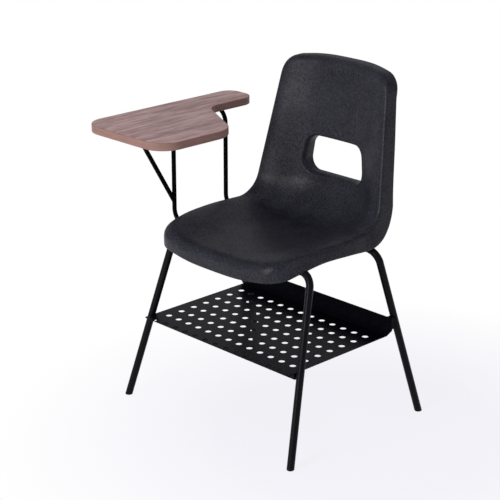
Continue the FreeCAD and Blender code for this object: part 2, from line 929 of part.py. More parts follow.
def book_rack():
    half = rack_half_width()
    low = rack_top_height - rack_sheet
    rack = block(vector(-half, rack_front_y(), low), vector(half, rack_rear_y(), rack_top_height))
    front_corners = [e for e in rack.Edges
                     if e.BoundBox.ZLength > rack_sheet / 2 and e.BoundBox.YMax < rack_front_y() + rack_sheet]
    rack = rack.makeFillet(rack_corner_radius, front_corners)
    holes = []
    for column in range(rack_hole_columns):
        for row in range(rack_hole_rows):
            x = (column - (rack_hole_columns - 1) / 2) * rack_column_pitch
            y = rack_front_y() + rack_first_row + row * rack_row_pitch
            base = vector(x, y, low - overrun)
            holes.append(cylinder(base, along_z, rack_hole_diameter, rack_sheet + 2 * overrun))
    rack = rack.cut(Part.Compound(holes))
    rack = rack.fuse([rack_rib(), rack_back(), rack_ear(1), rack_ear(-1)])
    return rack.cut(rack_bolt_holes()).removeSplitter()


def front_bolt_seats():
    """Where each front bolt's head and nut rest; both bolts point outwards, into the tubes."""
    height = front_bolt_height()
    head_x = rack_half_width() - rack_sheet
    seats = []
    for side in (1, -1):
        centre = leg_line(side, -1, height)
        nut_x = abs(centre.x) - nut_before_tube_middle
        seats.append((vector(side * head_x, centre.y, height), vector(side * nut_x, centre.y, height)))
    return seats


def rear_bolt_seats():
    """Where each rear bolt's head and nut rest; both bolts point rearwards, into the tubes."""
    height = rear_bolt_height()
    seats = []
    for side in (1, -1):
        centre = leg_line(side, 1, height)
        nut_y = centre.y - nut_before_tube_middle
        seats.append((vector(centre.x, rack_rear_y() - rack_sheet, height), vector(centre.x, nut_y, height)))
    return seats


def rack_bolt_holes():
    hole = rack_bolt_diameter + 2 * rack_bolt_clearance
    tools = []
    for head, nut in front_bolt_seats() + rear_bolt_seats():
        direction = (nut - head).normalize()
        length = (nut - head).Length + 2 * overrun
        tools.append(cylinder(head - direction * overrun, direction, hole, length))
    return Part.Compound(tools)


def rack_bolts(seats):
    bolts = []
    for head, nut in seats:
        direction = (nut - head).normalize()
        length = (nut - head).Length + rack_nut_height + rack_bolt_tail
        bolts.append(headed_bolt(head, direction, rack_bolt_diameter, length,
                                 rack_bolt_head, rack_bolt_head_height))
    return Part.Compound(bolts)


def rack_nuts(seats):
    nuts = []
    bore = rack_bolt_diameter + rack_bolt_clearance
    for head, nut in seats:
        direction = (nut - head).normalize()
        nuts.append(hexagon_nut(nut, direction, rack_nut_width, rack_nut_height, bore))
    return Part.Compound(nuts)


def rack_spacers(rear_legs_solid):
    """Blocks between the rack's back edge and the rear legs, shaped to the tube."""
    spacers = []
    half = vector(spacer_width / 2, 0, spacer_height / 2)
    for head, nut in rear_bolt_seats():
        start = vector(head.x, rack_rear_y(), head.z)
        length = spacer_length + spacer_past_tube
        body = block(start - half, start + half + along_y * length)
        bore = cylinder(start - along_y * overrun, along_y,
                        rack_bolt_diameter + 2 * rack_bolt_clearance, length + 2 * overrun)
        body = body.cut(bore).cut(rear_legs_solid)
        spacers.append(max(body.Solids, key=lambda solid: solid.Volume))
    return Part.Compound(spacers)


# The whole chair


def build_pieces():
    pieces = {"seat_shell": seat_shell()}
    holes = rack_bolt_holes()
    pieces["front_leg_frame"] = leg_frame(-1, holes)
    pieces["rear_leg_frame"] = leg_frame(1, holes)
    for side_y, end in ((-1, "front"), (1, "rear")):
        for side_x, side in ((1, "left"), (-1, "right")):
            pieces["foot_glide_" + end + "_" + side] = foot_glide(side_x, side_y)
    pieces["seat_strap_left"] = seat_strap(1)
    pieces["seat_strap_right"] = seat_strap(-1)
    pieces["shell_screws"] = shell_screws()
    pieces["shell_washers"] = shell_washers()
    pieces["tablet_front_upright"] = upright(front_upright_y)
    pieces["tablet_rear_upright"] = upright(rear_upright_y)
    pieces["tablet_brace"] = brace(pieces["tablet_front_upright"])
    for name in plate_middles():
        pieces["tablet_plate_" + name] = tablet_plate(name)
    core_low = tablet_bottom + laminate_thickness
    core_high = tablet_top_height - laminate_thickness
    pieces["tablet_bottom_laminate"] = drill_for_tablet_screws(tablet_layer(tablet_bottom, core_low))
    pieces["tablet_core"] = drill_for_tablet_screws(tablet_layer(core_low, core_high))
    pieces["tablet_top_laminate"] = tablet_layer(core_high, tablet_top_height)
    pieces["tablet_edge_band"] = tablet_edge_band()
    pieces["tablet_screws"] = tablet_screws()
    pieces["book_rack"] = book_rack()
    pieces["rack_front_bolts"] = rack_bolts(front_bolt_seats())
    pieces["rack_front_nuts"] = rack_nuts(front_bolt_seats())
    pieces["rack_rear_bolts"] = rack_bolts(rear_bolt_seats())
    pieces["rack_rear_nuts"] = rack_nuts(rear_bolt_seats())
    pieces["rack_rear_spacers"] = rack_spacers(leg_bar(1, tube_diameter))
    return pieces


def main():
    os.makedirs("parts", exist_ok=True)
    pieces = build_pieces()
    box = Part.Compound(list(pieces.values())).optimalBoundingBox(False)
    shift = vector(-box.Center.x, -box.Center.y, -box.ZMin)
    for name, shape in pieces.items():
        shape.translate(shift)
        shape.exportStep("parts/" + name + ".step")
        print(name, len(shape.Solids), shape.isValid(), round(shape.Volume), shape.optimalBoundingBox(False))
    print("moved by", shift)


main()
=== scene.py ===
"""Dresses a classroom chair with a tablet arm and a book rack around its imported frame.

The add-on makes the moulded shell, the leg frames, the tablet's uprights and top, and the weld
beads as surfaces worked out with numpy. The other pieces are the frame's own, and get their
finishes. Sizes are in metres, from the middle between the four feet, with X to the sitter's left,
Y to the back and Z up.
"""

import math

import bmesh
import bpy
import numpy as np
from bpy.props import FloatProperty, FloatVectorProperty, IntProperty, PointerProperty
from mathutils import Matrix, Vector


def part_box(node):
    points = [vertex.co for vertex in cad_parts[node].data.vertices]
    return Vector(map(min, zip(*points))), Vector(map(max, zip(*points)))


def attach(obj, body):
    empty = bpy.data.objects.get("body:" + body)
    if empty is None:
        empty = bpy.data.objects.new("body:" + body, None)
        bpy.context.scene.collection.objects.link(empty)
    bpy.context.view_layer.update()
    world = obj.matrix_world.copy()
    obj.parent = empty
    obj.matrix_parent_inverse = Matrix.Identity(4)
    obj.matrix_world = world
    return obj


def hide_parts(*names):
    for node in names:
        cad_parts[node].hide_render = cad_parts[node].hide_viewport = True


bl_info = {
    "name": "Tablet Arm Classroom Chair",
    "version": (1, 0, 0),
    "blender": (4, 5, 0),
    "location": "3D View > Sidebar > Chair",
    "description": "Shell, tube frame, tablet and book rack of a classroom chair",
    "category": "Add Mesh",
}

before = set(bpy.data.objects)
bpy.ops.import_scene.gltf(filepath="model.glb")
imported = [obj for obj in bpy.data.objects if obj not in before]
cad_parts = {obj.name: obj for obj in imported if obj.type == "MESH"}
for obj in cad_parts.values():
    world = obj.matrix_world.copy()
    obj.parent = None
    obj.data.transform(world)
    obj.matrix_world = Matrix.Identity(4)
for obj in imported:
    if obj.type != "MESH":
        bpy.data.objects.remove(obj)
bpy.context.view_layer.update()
ROOT = "root"
UP = np.array([0.0, 0.0, 1.0])
BACK = np.array([0.0, 1.0, 0.0])
LEFT = np.array([1.0, 0.0, 0.0])
SIDES = ((1, "left"), (-1, "right"))
ENDS = ((-1, "front"), (1, "rear"))
MERGE_DISTANCE = 0.000005
STRAIGHT = 1e-6


def feet_middle():
    """Point on the floor in the middle of the four feet, which everything is placed from."""
    boxes = [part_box(f"foot_glide_{end}_{side}") for _, end in ENDS for _, side in SIDES]
    low = np.min([np.array(box[0]) for box in boxes], axis=0)
    high = np.max([np.array(box[1]) for box in boxes], axis=0)
    return (low + high) / 2 * (LEFT + BACK)


MIDDLE = feet_middle()


# Sizes and colours that a user would change


def length(default, description):
    return FloatProperty(description=description, default=default, unit="LENGTH", precision=4)


def lengths(defaults, description):
    return FloatVectorProperty(description=description, default=defaults, size=len(defaults),
                               unit="LENGTH", precision=4)


def angle(degrees, description):
    return FloatProperty(description=description, default=math.radians(degrees), subtype="ANGLE",
                         unit="ROTATION")


def angles(degrees, description):
    return FloatVectorProperty(description=description, default=[math.radians(value) for value in degrees],
                               size=len(degrees), unit="ROTATION")


def share(default, description):
    return FloatProperty(description=description, default=default, min=0.0, max=1.0, subtype="FACTOR")


def colour(default, description):
    return FloatVectorProperty(description=description, default=default, size=3, min=0.0, max=1.0,
                               subtype="COLOR")


def count(default, description):
    return IntProperty(description=description, default=default, min=4)


def labelled(group):
    """Labels each property of a group with its own name."""
    for name, made in group.__annotations__.items():
        made.keywords["name"] = name.replace("_", " ").capitalize()
    return group


@labelled
class ChairShellSizes(bpy.types.PropertyGroup):
    """The moulded shell: side view, widths, rolled edge, flange and hand opening."""
    seat_front: length(0.1577, "Front of the sitting face, forward of the middle")
    seat_middle_height: length(0.4008, "Height of the seat along its middle")
    seat_edge_rise: length(0.0214, "How far the side edges stand above the middle")
    seat_rear_sink: length(0.0040, "How far the seat sinks to the rear")
    edge_front_droop: length(0.0110, "Drop of the front corners")
    middle_front_droop: length(0.0026, "Drop of the front's middle")
    droop_start: length(0.055, "Where the front starts to drop, forward of the middle")
    edge_bend_radius: length(0.0591, "Radius of the bend into the back, at the edges")
    edge_lean: angle(10.7, "Lean of the back's side edges")
    edge_back_y: length(0.1390, "How far back the side edges are")
    edge_back_rise: length(0.0654, "Height of that place above the seat edge")
    middle_bend_radius: length(0.085, "Radius of the bend into the back, in the middle")
    middle_lean: angle(3.0, "Lean of the back along its middle")
    middle_back_y: length(0.194, "How far back the middle of the back is")
    middle_back_rise: length(0.1392, "Height of that place above the seat")
    back_rise: length(0.3295, "Top of the sitting face above the seat")
    back_top_crown: length(0.0056, "How far the top's corners drop")
    front_half_width: length(0.1663, "Half width of the face at the knees")
    seat_half_width: length(0.1899, "Largest half width of the face")
    bend_half_width: length(0.1801, "Half width of the face at the bend")
    top_half_width: length(0.148, "Half width of the face at the top")
    widest_y: length(0.010, "Where the seat is widest, back of the middle")
    bend_width_y: length(0.130, "Where the bend's half width is reached")
    front_corner_radius: length(0.0334, "Corner radius of the face at the front")
    top_corner_radius: length(0.0340, "Corner radius of the face at the top")
    wall: length(0.0045, "Thickness of the moulded wall")
    side_rolls: lengths((0.0060, 0.0121, 0.0083, 0.0055),
                        "Rolled edge's radius at the front corners, the seat, the bend and the back")
    front_roll: length(0.0223, "Radius of the rolled edge at the front")
    top_roll: length(0.0157, "Radius of the rolled edge at the top")
    side_drafts: angles((4.6, 14.1, 16.3, 5.2),
                        "How far the flange spreads at the front, the seat, the bend and the back")
    side_flanges: lengths((0.0384, 0.0183, 0.0289, 0.0354, 0.0314, 0.0293, 0.0253),
                          "Flange depth from the front corners round the seat and the back to the top")
    front_flange: length(0.0189, "Flange depth along the front")
    top_flange: length(0.0179, "Flange depth along the top")
    hand_width: length(0.166, "Middle width of the hand opening")
    hand_taper: share(0.089, "How much wider its lower end is than its middle")
    hand_height: length(0.0808, "Height of the hand opening")
    hand_rise: length(0.1239, "Middle of the hand opening above the seat")
    hand_corner_radius: length(0.026, "Corner radius of the hand opening")
    hand_roll: length(0.0065, "Width of the roll round the opening, seen from the front")
    hand_roll_depth: length(0.0145, "How far the roll reaches into the opening")
    lip_wall: length(0.0035, "Wall of the lip round the hand opening")
    lip_depth: length(0.020, "How far the lip stands behind the back's middle")
    lip_fillet: length(0.004, "Fillet between the lip and the back's rear")
    boss_diameter: length(0.016, "Diameter of the screw bosses below the seat")
    boss_spread: length(0.0003, "How much the bosses' radius grows up to the seat")
    boss_edge: length(0.0004, "Bevel of the bosses' lower edge")
    boss_bore: length(0.0055, "Diameter of the hole in a boss")
    boss_hole_depth: length(0.012, "Depth of the hole in a boss")
    washer_diameter: length(0.013, "Outer diameter of the washers below the bosses")
    side_steps: count(98, "Mesh steps along each side")
    end_steps: count(56, "Mesh steps along the front and the top")
    face_steps: count(62, "Mesh steps from the hand opening to the edge")


@labelled
class ChairFrameSizes(bpy.types.PropertyGroup):
    """Leg frames, the rods' diameter and the weld beads."""
    tube_diameter: length(0.016, "Outer diameter of the leg tube")
    tube_wall: length(0.0015, "Wall of the leg tube")
    rod_diameter: length(0.010, "Diameter of the tablet's rods")
    leg_bend_radius: length(0.031, "Centre radius of the leg bends")
    feet_across: length(0.5114, "Distance between left and right feet")
    feet_along: length(0.4028, "Distance between front and rear feet")
    tops_across: length(0.4094, "Distance between the corners of a leg frame")
    front_bar_from_middle: length(0.0945, "Front crossbar, forward of the middle")
    rear_bar_from_middle: length(0.1067, "Rear crossbar, back of the middle")
    bar_height: length(0.382, "Centre height of the crossbars")
    glide_height: length(0.007, "Height of a foot's head below the tube")
    weld_radius: length(0.0022, "Size of the weld beads")
    weld_margin: length(0.003, "How far the beads end inside the straps' edges")
    tube_sides: count(32, "Mesh sides of the tubes")


@labelled
class ChairTabletSizes(bpy.types.PropertyGroup):
    """Tablet board and the rods below it."""
    length_along: length(0.4325, "Length of the tablet")
    width: length(0.258, "Width of the writing board")
    arm_width: length(0.087, "Width of the arm rest")
    board_side: length(0.1964, "Length of the board's inner side to its shoulder")
    notch: length(0.0908, "Length of the slanting shoulder")
    corner_radii: lengths((0.054, 0.052, 0.064, 0.054, 0.036, 0.029),
                          "Corner radii from the outer front, by the shoulder, to the arm's outer end")
    band: length(0.0015, "Thickness of the edge band")
    upright_from_middle: length(0.246, "Uprights to the sitter's right of the middle")
    front_upright_y: length(-0.0633, "Front upright along the chair")
    rear_upright_y: length(0.0936, "Rear upright along the chair")
    low_bend: length(0.034, "Bend radius of the uprights below")
    top_bend: length(0.032, "Bend radius of the uprights at the tablet")
    reach: length(0.044, "How far the uprights' ends reach under the tablet")


@labelled
class ChairFinishes(bpy.types.PropertyGroup):
    """Colours of the finishes."""
    shell: colour((0.0030, 0.0030, 0.0050), "Charcoal plastic")
    shell_light: colour((0.0290, 0.0290, 0.0430), "Lighter specks of the plastic")
    paint: colour((0.0030, 0.0030, 0.0044), "Black powder coat")
    rack_paint: colour((0.0018, 0.0018, 0.0034), "Black powder coat of the rack")
    glide: colour((0.004, 0.004, 0.0045), "Black nylon")
    steel: colour((0.55, 0.55, 0.56), "Zinc plated screws")
    wood_light: colour((0.69, 0.460, 0.427), "Light streaks of the tablet")
    wood_dark: colour((0.345, 0.206, 0.187), "Dark streaks of the tablet")
    wood_edge: colour((0.335, 0.187, 0.153), "Edge band")
    backing: colour((0.27, 0.19, 0.15), "Backing laminate below the tablet")
    board: colour((0.50, 0.38, 0.26), "Particle board inside the tablet")


@labelled
class ChairStageSettings(bpy.types.PropertyGroup):
    """Camera, light, surroundings and floor."""
    camera_place: lengths((2.19755, -2.19942, 1.46386), "Place of the camera")
    azimuth: angle(45.874, "Turn of the camera about the vertical")
    elevation: angle(19.547, "How far the camera looks down")
    lens: FloatProperty(description="Focal length in millimetres", default=110.16, min=1.0,
                        subtype="DISTANCE_CAMERA")
    world_strength: FloatProperty(description="Strength of the pale surroundings", default=0.48, min=0.0)
    world_colour: colour((0.93, 0.93, 1.0), "Colour of the pale surroundings")
    key_place: lengths((0.10, -3.1, 1.35), "Place of the large light in front of the chair")
    key_target: lengths((0.0, 0.0, 0.50), "Point that the large light faces")
    key_size: length(1.5, "Side of the large light")
    key_power: FloatProperty(description="Power of the large light", default=64.0, min=0.0,
                             subtype="POWER")
    floor_colour: colour((0.82, 0.81, 0.92), "Floor as the lights show it")
    # Tint of the floor's glow near the chair, a little darker and bluer: painted shade
    shadow_tint: colour((0.965, 0.955, 1.0), "Glow of the floor below the chair")
    shadow_place: lengths((0.25, 0.05, 0.0), "Middle of the shadow on the floor")
    shadow_start: length(0.30, "Distance at which the floor starts to fade to white")
    shadow_end: length(0.78, "Distance at which the floor is white")
    shadow_glow: share(0.86, "Share of the glow in the middle of the shadow")


GROUPS = {
    "chair_shell": ChairShellSizes,
    "chair_frame": ChairFrameSizes,
    "chair_tablet": ChairTabletSizes,
    "chair_finishes": ChairFinishes,
    "chair_stage": ChairStageSettings,
}


# Meshes from grids of points


def unit(vectors):
    return vectors / np.linalg.norm(vectors, axis=-1, keepdims=True)


def grid_quads(rows, columns, wrap_rows, wrap_columns):
    """Corner numbers of the quads between neighbouring points of a grid."""
    row = np.arange(rows if wrap_rows else rows - 1)[:, None]
    column = np.arange(columns if wrap_columns else columns - 1)[None, :]
    next_row = (row + 1) % rows
    next_column = (column + 1) % columns
    corners = [row * columns + column, row * columns + next_column,
               next_row * columns + next_column, next_row * columns + column]
    shape = (row.size, column.size)
    return np.stack([np.broadcast_to(corner, shape) for corner in corners], -1).reshape(-1, 4)


def grid_part(points, wrap_rows=False, wrap_columns=False):
    """Points and quads of one grid, ready to be joined with others."""
    rows, columns = points.shape[:2]
    return points.reshape(-1, 3), grid_quads(rows, columns, wrap_rows, wrap_columns)


def merged(parts):
    """Several sets of points and quads as one set."""
    starts = np.cumsum([0] + [len(points) for points, quads in parts[:-1]])
    points = np.concatenate([points for points, quads in parts])
    quads = np.concatenate([quads + start for (found, quads), start in zip(parts, starts)])
    return points, quads


def make_piece(name, parts, material, replaces=(), smooth_angle=40.0):
    """One finished piece from grids: doubles merged, faces outwards, riding on the chair."""
    points, quads = merged(parts)
    mesh = bpy.data.meshes.new(name)
    mesh.from_pydata((points + MIDDLE).tolist(), [], quads.tolist())
    work = bmesh.new()
    work.from_mesh(mesh)
    bmesh.ops.remove_doubles(work, verts=work.verts, dist=MERGE_DISTANCE)
    bmesh.ops.dissolve_degenerate(work, edges=work.edges, dist=MERGE_DISTANCE)
    bmesh.ops.recalc_face_normals(work, faces=work.faces)
    work.to_mesh(mesh)
    work.free()
    mesh.shade_smooth()
    mesh.set_sharp_from_angle(angle=math.radians(smooth_angle))
    mesh.materials.append(material)
    piece = bpy.data.objects.new(name, mesh)
    bpy.context.scene.collection.objects.link(piece)
    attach(piece, ROOT)
    if replaces:
        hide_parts(*replaces)
    return piece


def dress_nodes(material, *names):
    """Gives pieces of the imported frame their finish."""
    for name in names:
        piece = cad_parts[name]
        piece.data.materials.clear()
        piece.data.materials.append(material)


# Paths, bars and turned shapes


def bent_path(corners, radii, arc_steps):
    """Points along straight runs joined by tangent arcs; an arc is turned between its two radii."""
    corners = np.asarray(corners, float)
    points = [corners[0]]
    for index, radius in enumerate(radii, start=1):
        before = unit(corners[index] - corners[index - 1])
        after = unit(corners[index + 1] - corners[index])
        turn = math.acos(np.clip(before @ after, -1, 1))
        reach = radius * math.tan(turn / 2)
        centre = corners[index] + unit(after - before) * radius / math.cos(turn / 2)
        start = corners[index] - before * reach - centre
        end = corners[index] + after * reach - centre
        part = np.linspace(0, 1, arc_steps + 1)[:, None]
        arc = (start * np.sin((1 - part) * turn) + end * np.sin(part * turn)) / math.sin(turn)
        points += list(centre + arc)
    points.append(corners[-1])
    return np.array(points)


def path_axes(path):
    """Two directions square to a path in one plane, at each of its points.

    A path without bends runs across the chair.
    """
    steps = unit(np.diff(path, axis=0))
    tangent = unit(np.concatenate([steps[:1], steps[:-1] + steps[1:], steps[-1:]]))
    turns = np.cross(steps[:-1], steps[1:])
    flat = turns[np.argmax(np.linalg.norm(turns, axis=1))]
    if np.linalg.norm(flat) < STRAIGHT:
        flat = np.cross(tangent[0], BACK)
    side = np.broadcast_to(unit(flat), tangent.shape)
    return side, unit(np.cross(tangent, side))


def rings(path, radii, sides):
    """Circles of the given radii about the points of a path."""
    side, other = path_axes(path)
    turn = np.linspace(0, 2 * np.pi, sides, endpoint=False)[None, :, None]
    radii = np.broadcast_to(radii, len(path))[:, None, None]
    return path[:, None] + radii * (np.cos(turn) * side[:, None] + np.sin(turn) * other[:, None])


def level_end(ring, direction, height):
    """Slides a ring's points along a direction until they lie at one height."""
    return ring + direction * ((height - ring[:, 2:3]) / direction[2])


def hollow_bar(path, diameter, wall, sides, floor_height):
    """Tube along a path, cut level at both ends: its outside, one rim, its inside and the other rim."""
    outer = rings(path, diameter / 2, sides)
    inner = rings(path, diameter / 2 - wall, sides)
    for skin in (outer, inner):
        skin[0] = level_end(skin[0], unit(path[1] - path[0]), floor_height)
        skin[-1] = level_end(skin[-1], unit(path[-2] - path[-1]), floor_height)
    return grid_part(np.concatenate([outer, inner[::-1]]), wrap_rows=True, wrap_columns=True)


def solid_bar(path, diameter, sides, round_share=0.12, round_steps=4):
    """Round bar with softly rounded ends: its radius falls on a quarter circle at each end."""
    radius = diameter / 2
    edge = radius * round_share
    part = np.linspace(0, np.pi / 2, round_steps + 1)
    sizes = radius - edge + edge * np.sin(part)
    offsets = edge * (1 - np.cos(part))[:, None]
    start = path[0] + unit(path[1] - path[0]) * offsets
    end = path[-1] - unit(path[-1] - path[-2]) * offsets[::-1]
    whole = np.concatenate([start, path[1:-1], end])
    sizes = np.concatenate([sizes, np.full(len(path) - 2, radius), sizes[::-1]])
    caps = [np.broadcast_to(point, (1, sides, 3)) for point in (path[0], path[-1])]
    return grid_part(np.concatenate([caps[0], rings(whole, sizes, sides), caps[1]]), wrap_columns=True)


def turned(base, radii, heights, sides):
    """Shape turned about a vertical axis: circles of given radii at given heights above its base."""
    turn = np.linspace(0, 2 * np.pi, sides, endpoint=False)[None, :, None]
    circle = np.cos(turn) * BACK - np.sin(turn) * LEFT
    radii = np.asarray(radii, float)[:, None, None]
    heights = np.asarray(heights, float)[:, None, None]
    return grid_part(np.asarray(base) + circle * radii + heights * UP, wrap_columns=True)


def resample(points, steps):
    """Evenly spaced points along a line, by its length in the first two columns, without the last."""
    runs = np.linalg.norm(np.diff(points[:, :2], axis=0), axis=1)
    along = np.concatenate([[0], np.cumsum(runs)])
    wanted = np.linspace(0, along[-1], steps, endpoint=False)
    return np.stack([np.interp(wanted, along, column) for column in points.T], 1)


# Shell: the sitting face as a formula

# Powers of the curves across the seat, of its front's droop and of its width
DISH_POWER = 1.7
DROOP_POWER = 2.2
WIDTH_POWER = 1.5
# A place on the back is searched for by halving, between two shares of the face: one that lies
# this much before the bend's end, and one near the top
SEARCH_BEFORE_BACK = 0.06
SEARCH_END = 0.98
SEARCH_STEPS = 30
# Mesh steps of the arcs, the roll, the flange, the half rounds and the lip
ARC_STEPS = 24
CORNER_STEPS = 15
SIDE_LINE_STEPS = 239
ROLL_STEPS = 10
FLANGE_STEPS = 7
RIM_STEPS = 8
HAND_ROLL_STEPS = 12
LIP_FILLET_STEPS = 6
LIP_OUTER_STEPS = 4
LIP_INNER_STEPS = 6


def face_breaks(z):
    """Length of the face along its edge, and the shares of it at which the bend starts and ends."""
    turn = math.pi / 2 - z.edge_lean
    edge_height = z.seat_middle_height + z.seat_edge_rise
    bend_start = (z.edge_back_y - z.edge_back_rise * math.tan(z.edge_lean)
                  - z.edge_bend_radius * math.tan(turn / 2))
    bend_top = edge_height + z.edge_bend_radius * (1 - math.cos(turn))
    seat = bend_start + z.seat_front
    bend = z.edge_bend_radius * turn
    back = (z.seat_middle_height + z.back_rise - z.back_top_crown / 2 - bend_top) / math.cos(z.edge_lean)
    whole = seat + bend + back
    return whole, seat / whole, (seat + bend) / whole, bend_start


def stages(z, shares):
    """How much of the seat, of the bend and of the back lies before each place, from 0 to 1."""
    seat_end, bend_end = face_breaks(z)[1:3]
    ends = ((0, seat_end), (seat_end, bend_end), (bend_end, 1))
    return [np.clip((shares - start) / (end - start), 0, 1) for start, end in ends]


def rail(z, shares, height, radius, lean, back_y, back_height, top):
    """Side view of a seat line, a tangent bend and a leaning back line, as the sum of three stages."""
    seat, bend, back = stages(z, shares)
    turn = math.pi / 2 - lean
    start = back_y + (height - back_height) * math.tan(lean) - radius * math.tan(turn / 2)
    run = (start + z.seat_front) * seat
    bend = turn * bend
    end_height = height + radius * (1 - math.cos(turn))
    rise = (top - end_height) * back
    y = run - z.seat_front + radius * np.sin(bend) + rise * math.tan(lean)
    return y, height + radius * (1 - np.cos(bend)) + rise


def edge_rail(z, shares):
    height = z.seat_middle_height + z.seat_edge_rise
    top = z.seat_middle_height + z.back_rise - z.back_top_crown
    return rail(z, shares, height, z.edge_bend_radius, z.edge_lean, z.edge_back_y,
                height + z.edge_back_rise, top)


def middle_rail(z, shares):
    height = z.seat_middle_height
    return rail(z, shares, height - z.seat_rear_sink, z.middle_bend_radius, z.middle_lean,
                z.middle_back_y, height + z.middle_back_rise, height + z.back_rise)


def half_width(z, shares):
    """Half width of the face: a power curve on each side of its widest place, then straight lines."""
    bend, back = stages(z, shares)[1:]
    y = np.minimum(edge_rail(z, shares)[0], face_breaks(z)[3])
    forward = np.clip((z.widest_y - y) / (z.widest_y + z.seat_front), 0, None) ** WIDTH_POWER
    rearward = np.clip((y - z.widest_y) / (z.bend_width_y - z.widest_y), 0, None) ** WIDTH_POWER
    width = (z.seat_half_width + (z.front_half_width - z.seat_half_width) * forward
             + (z.bend_half_width - z.seat_half_width) * rearward)
    width = width + (z.bend_half_width - width) * bend
    return width + (z.top_half_width - z.bend_half_width) * back


def face_points(z, across, shares):
    """Points of the face: the middle rail blended into the edge rail by a squared sine across."""
    seat_end = face_breaks(z)[1]

    def droop(y):
        part = np.clip((-z.droop_start - y) / (z.seat_front - z.droop_start), 0, 1)
        return (shares < seat_end) * part ** DROOP_POWER

    edge_y, edge_z = edge_rail(z, shares)
    middle_y, middle_z = middle_rail(z, shares)
    middle_z = middle_z + z.seat_rear_sink * np.clip(1 - shares / seat_end, 0, 1)
    edge_z = edge_z - z.edge_front_droop * droop(edge_y)
    middle_z = middle_z - z.middle_front_droop * droop(middle_y)
    dish = np.sin(np.pi / 2 * np.clip(np.abs(across), 0, 1) ** DISH_POWER) ** 2
    x = across * half_width(z, shares)
    return np.stack([x, middle_y + (edge_y - middle_y) * dish, middle_z + (edge_z - middle_z) * dish], -1)


def face_axes(z, across, shares, step=0.0001):
    """Unit vectors of the face, from small steps: away from the sitter, to the left, and along."""
    left = unit(face_points(z, across + step, shares) - face_points(z, across - step, shares))
    along = unit(face_points(z, across, np.clip(shares + step, 0, 1))
                 - face_points(z, across, np.clip(shares - step, 0, 1)))
    return unit(np.cross(along, left)), left, along


def face_corner(z, side, end, turn):
    """Rounded corner of the unrolled face: place across and along, and the direction outwards."""
    whole = face_breaks(z)[0]
    radius = z.top_corner_radius if end > 0 else z.front_corner_radius
    inset = radius * (1 - np.sin(turn))
    along = whole - inset if end > 0 else inset
    across = half_width(z, along / whole) - radius * (1 - np.cos(turn))
    return np.stack([side * across, along, side * np.cos(turn), end * np.sin(turn)], 1)


def face_outline(z):
    """Closed outline of the unrolled face: left side up, top, right side down, front."""
    whole = face_breaks(z)[0]
    half_turn = np.linspace(0, np.pi / 4, CORNER_STEPS + 1)
    along = np.linspace(z.front_corner_radius, whole - z.top_corner_radius, SIDE_LINE_STEPS + 1)[1:-1]
    ones = np.ones_like(along)
    lines = []
    for side in (1, -1):
        straight = np.stack([side * half_width(z, along / whole), along, side * ones, 0 * ones], 1)
        lines.append(np.concatenate([face_corner(z, side, -1, half_turn[::-1]), straight,
                                     face_corner(z, side, 1, half_turn)]))
    left, right = lines
    top, front = (np.concatenate([face_corner(z, 1, end, np.pi / 4 + half_turn),
                                  face_corner(z, -1, end, np.pi / 2 - half_turn)]) for end in (1, -1))
    loop = np.concatenate([resample(left, z.side_steps), resample(top, z.end_steps),
                           resample(right[::-1], z.side_steps), resample(front[::-1], z.end_steps)])
    loop[:, 2:] = unit(loop[:, 2:])
    return loop


def hand_outline(z):
    """Closed outline of the hand opening seen from the front: place and outward direction."""
    half_z = z.hand_height / 2
    low_x, high_x = (z.hand_width / 2 * (1 + end * z.hand_taper) for end in (1, -1))
    ends = [(low_x, -half_z), (high_x, half_z), (-high_x, half_z), (-low_x, -half_z)]
    flat = [np.array([x, height, 0.0]) for x, height in ends]
    middles = [(flat[index - 1] + flat[index]) / 2 for index in range(4)]
    corner = []
    for index in range(4):
        after = (flat[index] + flat[(index + 1) % 4]) / 2
        path = bent_path([middles[index], flat[index], after], [z.hand_corner_radius], ARC_STEPS)
        corner.append(path[:, :2])
    half = ARC_STEPS // 2 + 1
    lines = []
    for index in range(4):
        line = np.concatenate([corner[index][half:], corner[(index + 1) % 4][1:half + 1]])
        step = unit(np.gradient(line, axis=0))
        lines.append(np.concatenate([line, np.stack([step[:, 1], -step[:, 0]], 1)], 1))
    steps = (z.side_steps, z.end_steps, z.side_steps, z.end_steps)
    loop = np.concatenate([resample(line, number) for line, number in zip(lines, steps)])
    loop[:, 2:] = unit(loop[:, 2:])
    loop[:, 1] += z.seat_middle_height + z.hand_rise
    return loop


def place_on_back(z, x, height):
    """Place across and share of the face at which its front view has a given X and height."""
    low = np.full(len(x), face_breaks(z)[2] - SEARCH_BEFORE_BACK)
    high = np.full(len(x), SEARCH_END)
    for _ in range(SEARCH_STEPS):
        shares = (low + high) / 2
        found = face_points(z, x / half_width(z, shares), shares)[:, 2]
        below = found < height
        low = np.where(below, shares, low)
        high = np.where(below, high, shares)
    return x / half_width(z, shares), shares


def soft_step(part):
    """Cubic step 3p^2 - 2p^3 from 0 to 1."""
    part = np.clip(part, 0, 1)
    return part * part * (3 - 2 * part)


def stepped(shares, places, values):
    """Values that go from place to place in soft steps."""
    found = np.full(len(shares), values[0])
    for low, high, start, end in zip(places[:-1], places[1:], values[:-1], values[1:]):
        found = found + (end - start) * soft_step((shares - low) / (high - low))
    return found


def curved(shares, places, values):
    """Hermite curve through the values: slopes from the neighbours of each place, level at the ends."""
    places = np.array(places)
    values = np.array(values)
    slopes = np.zeros(len(values))
    slopes[1:-1] = (values[2:] - values[:-2]) / (places[2:] - places[:-2])
    index = np.clip(np.searchsorted(places, shares) - 1, 0, len(places) - 2)
    run = places[index + 1] - places[index]
    part = np.clip((shares - places[index]) / run, 0, 1)
    rest = 1 - part
    ends = values[index] * rest ** 2 * (1 + 2 * part) + values[index + 1] * part ** 2 * (1 + 2 * rest)
    return ends + run * part * rest * (slopes[index] * rest - slopes[index + 1] * part)


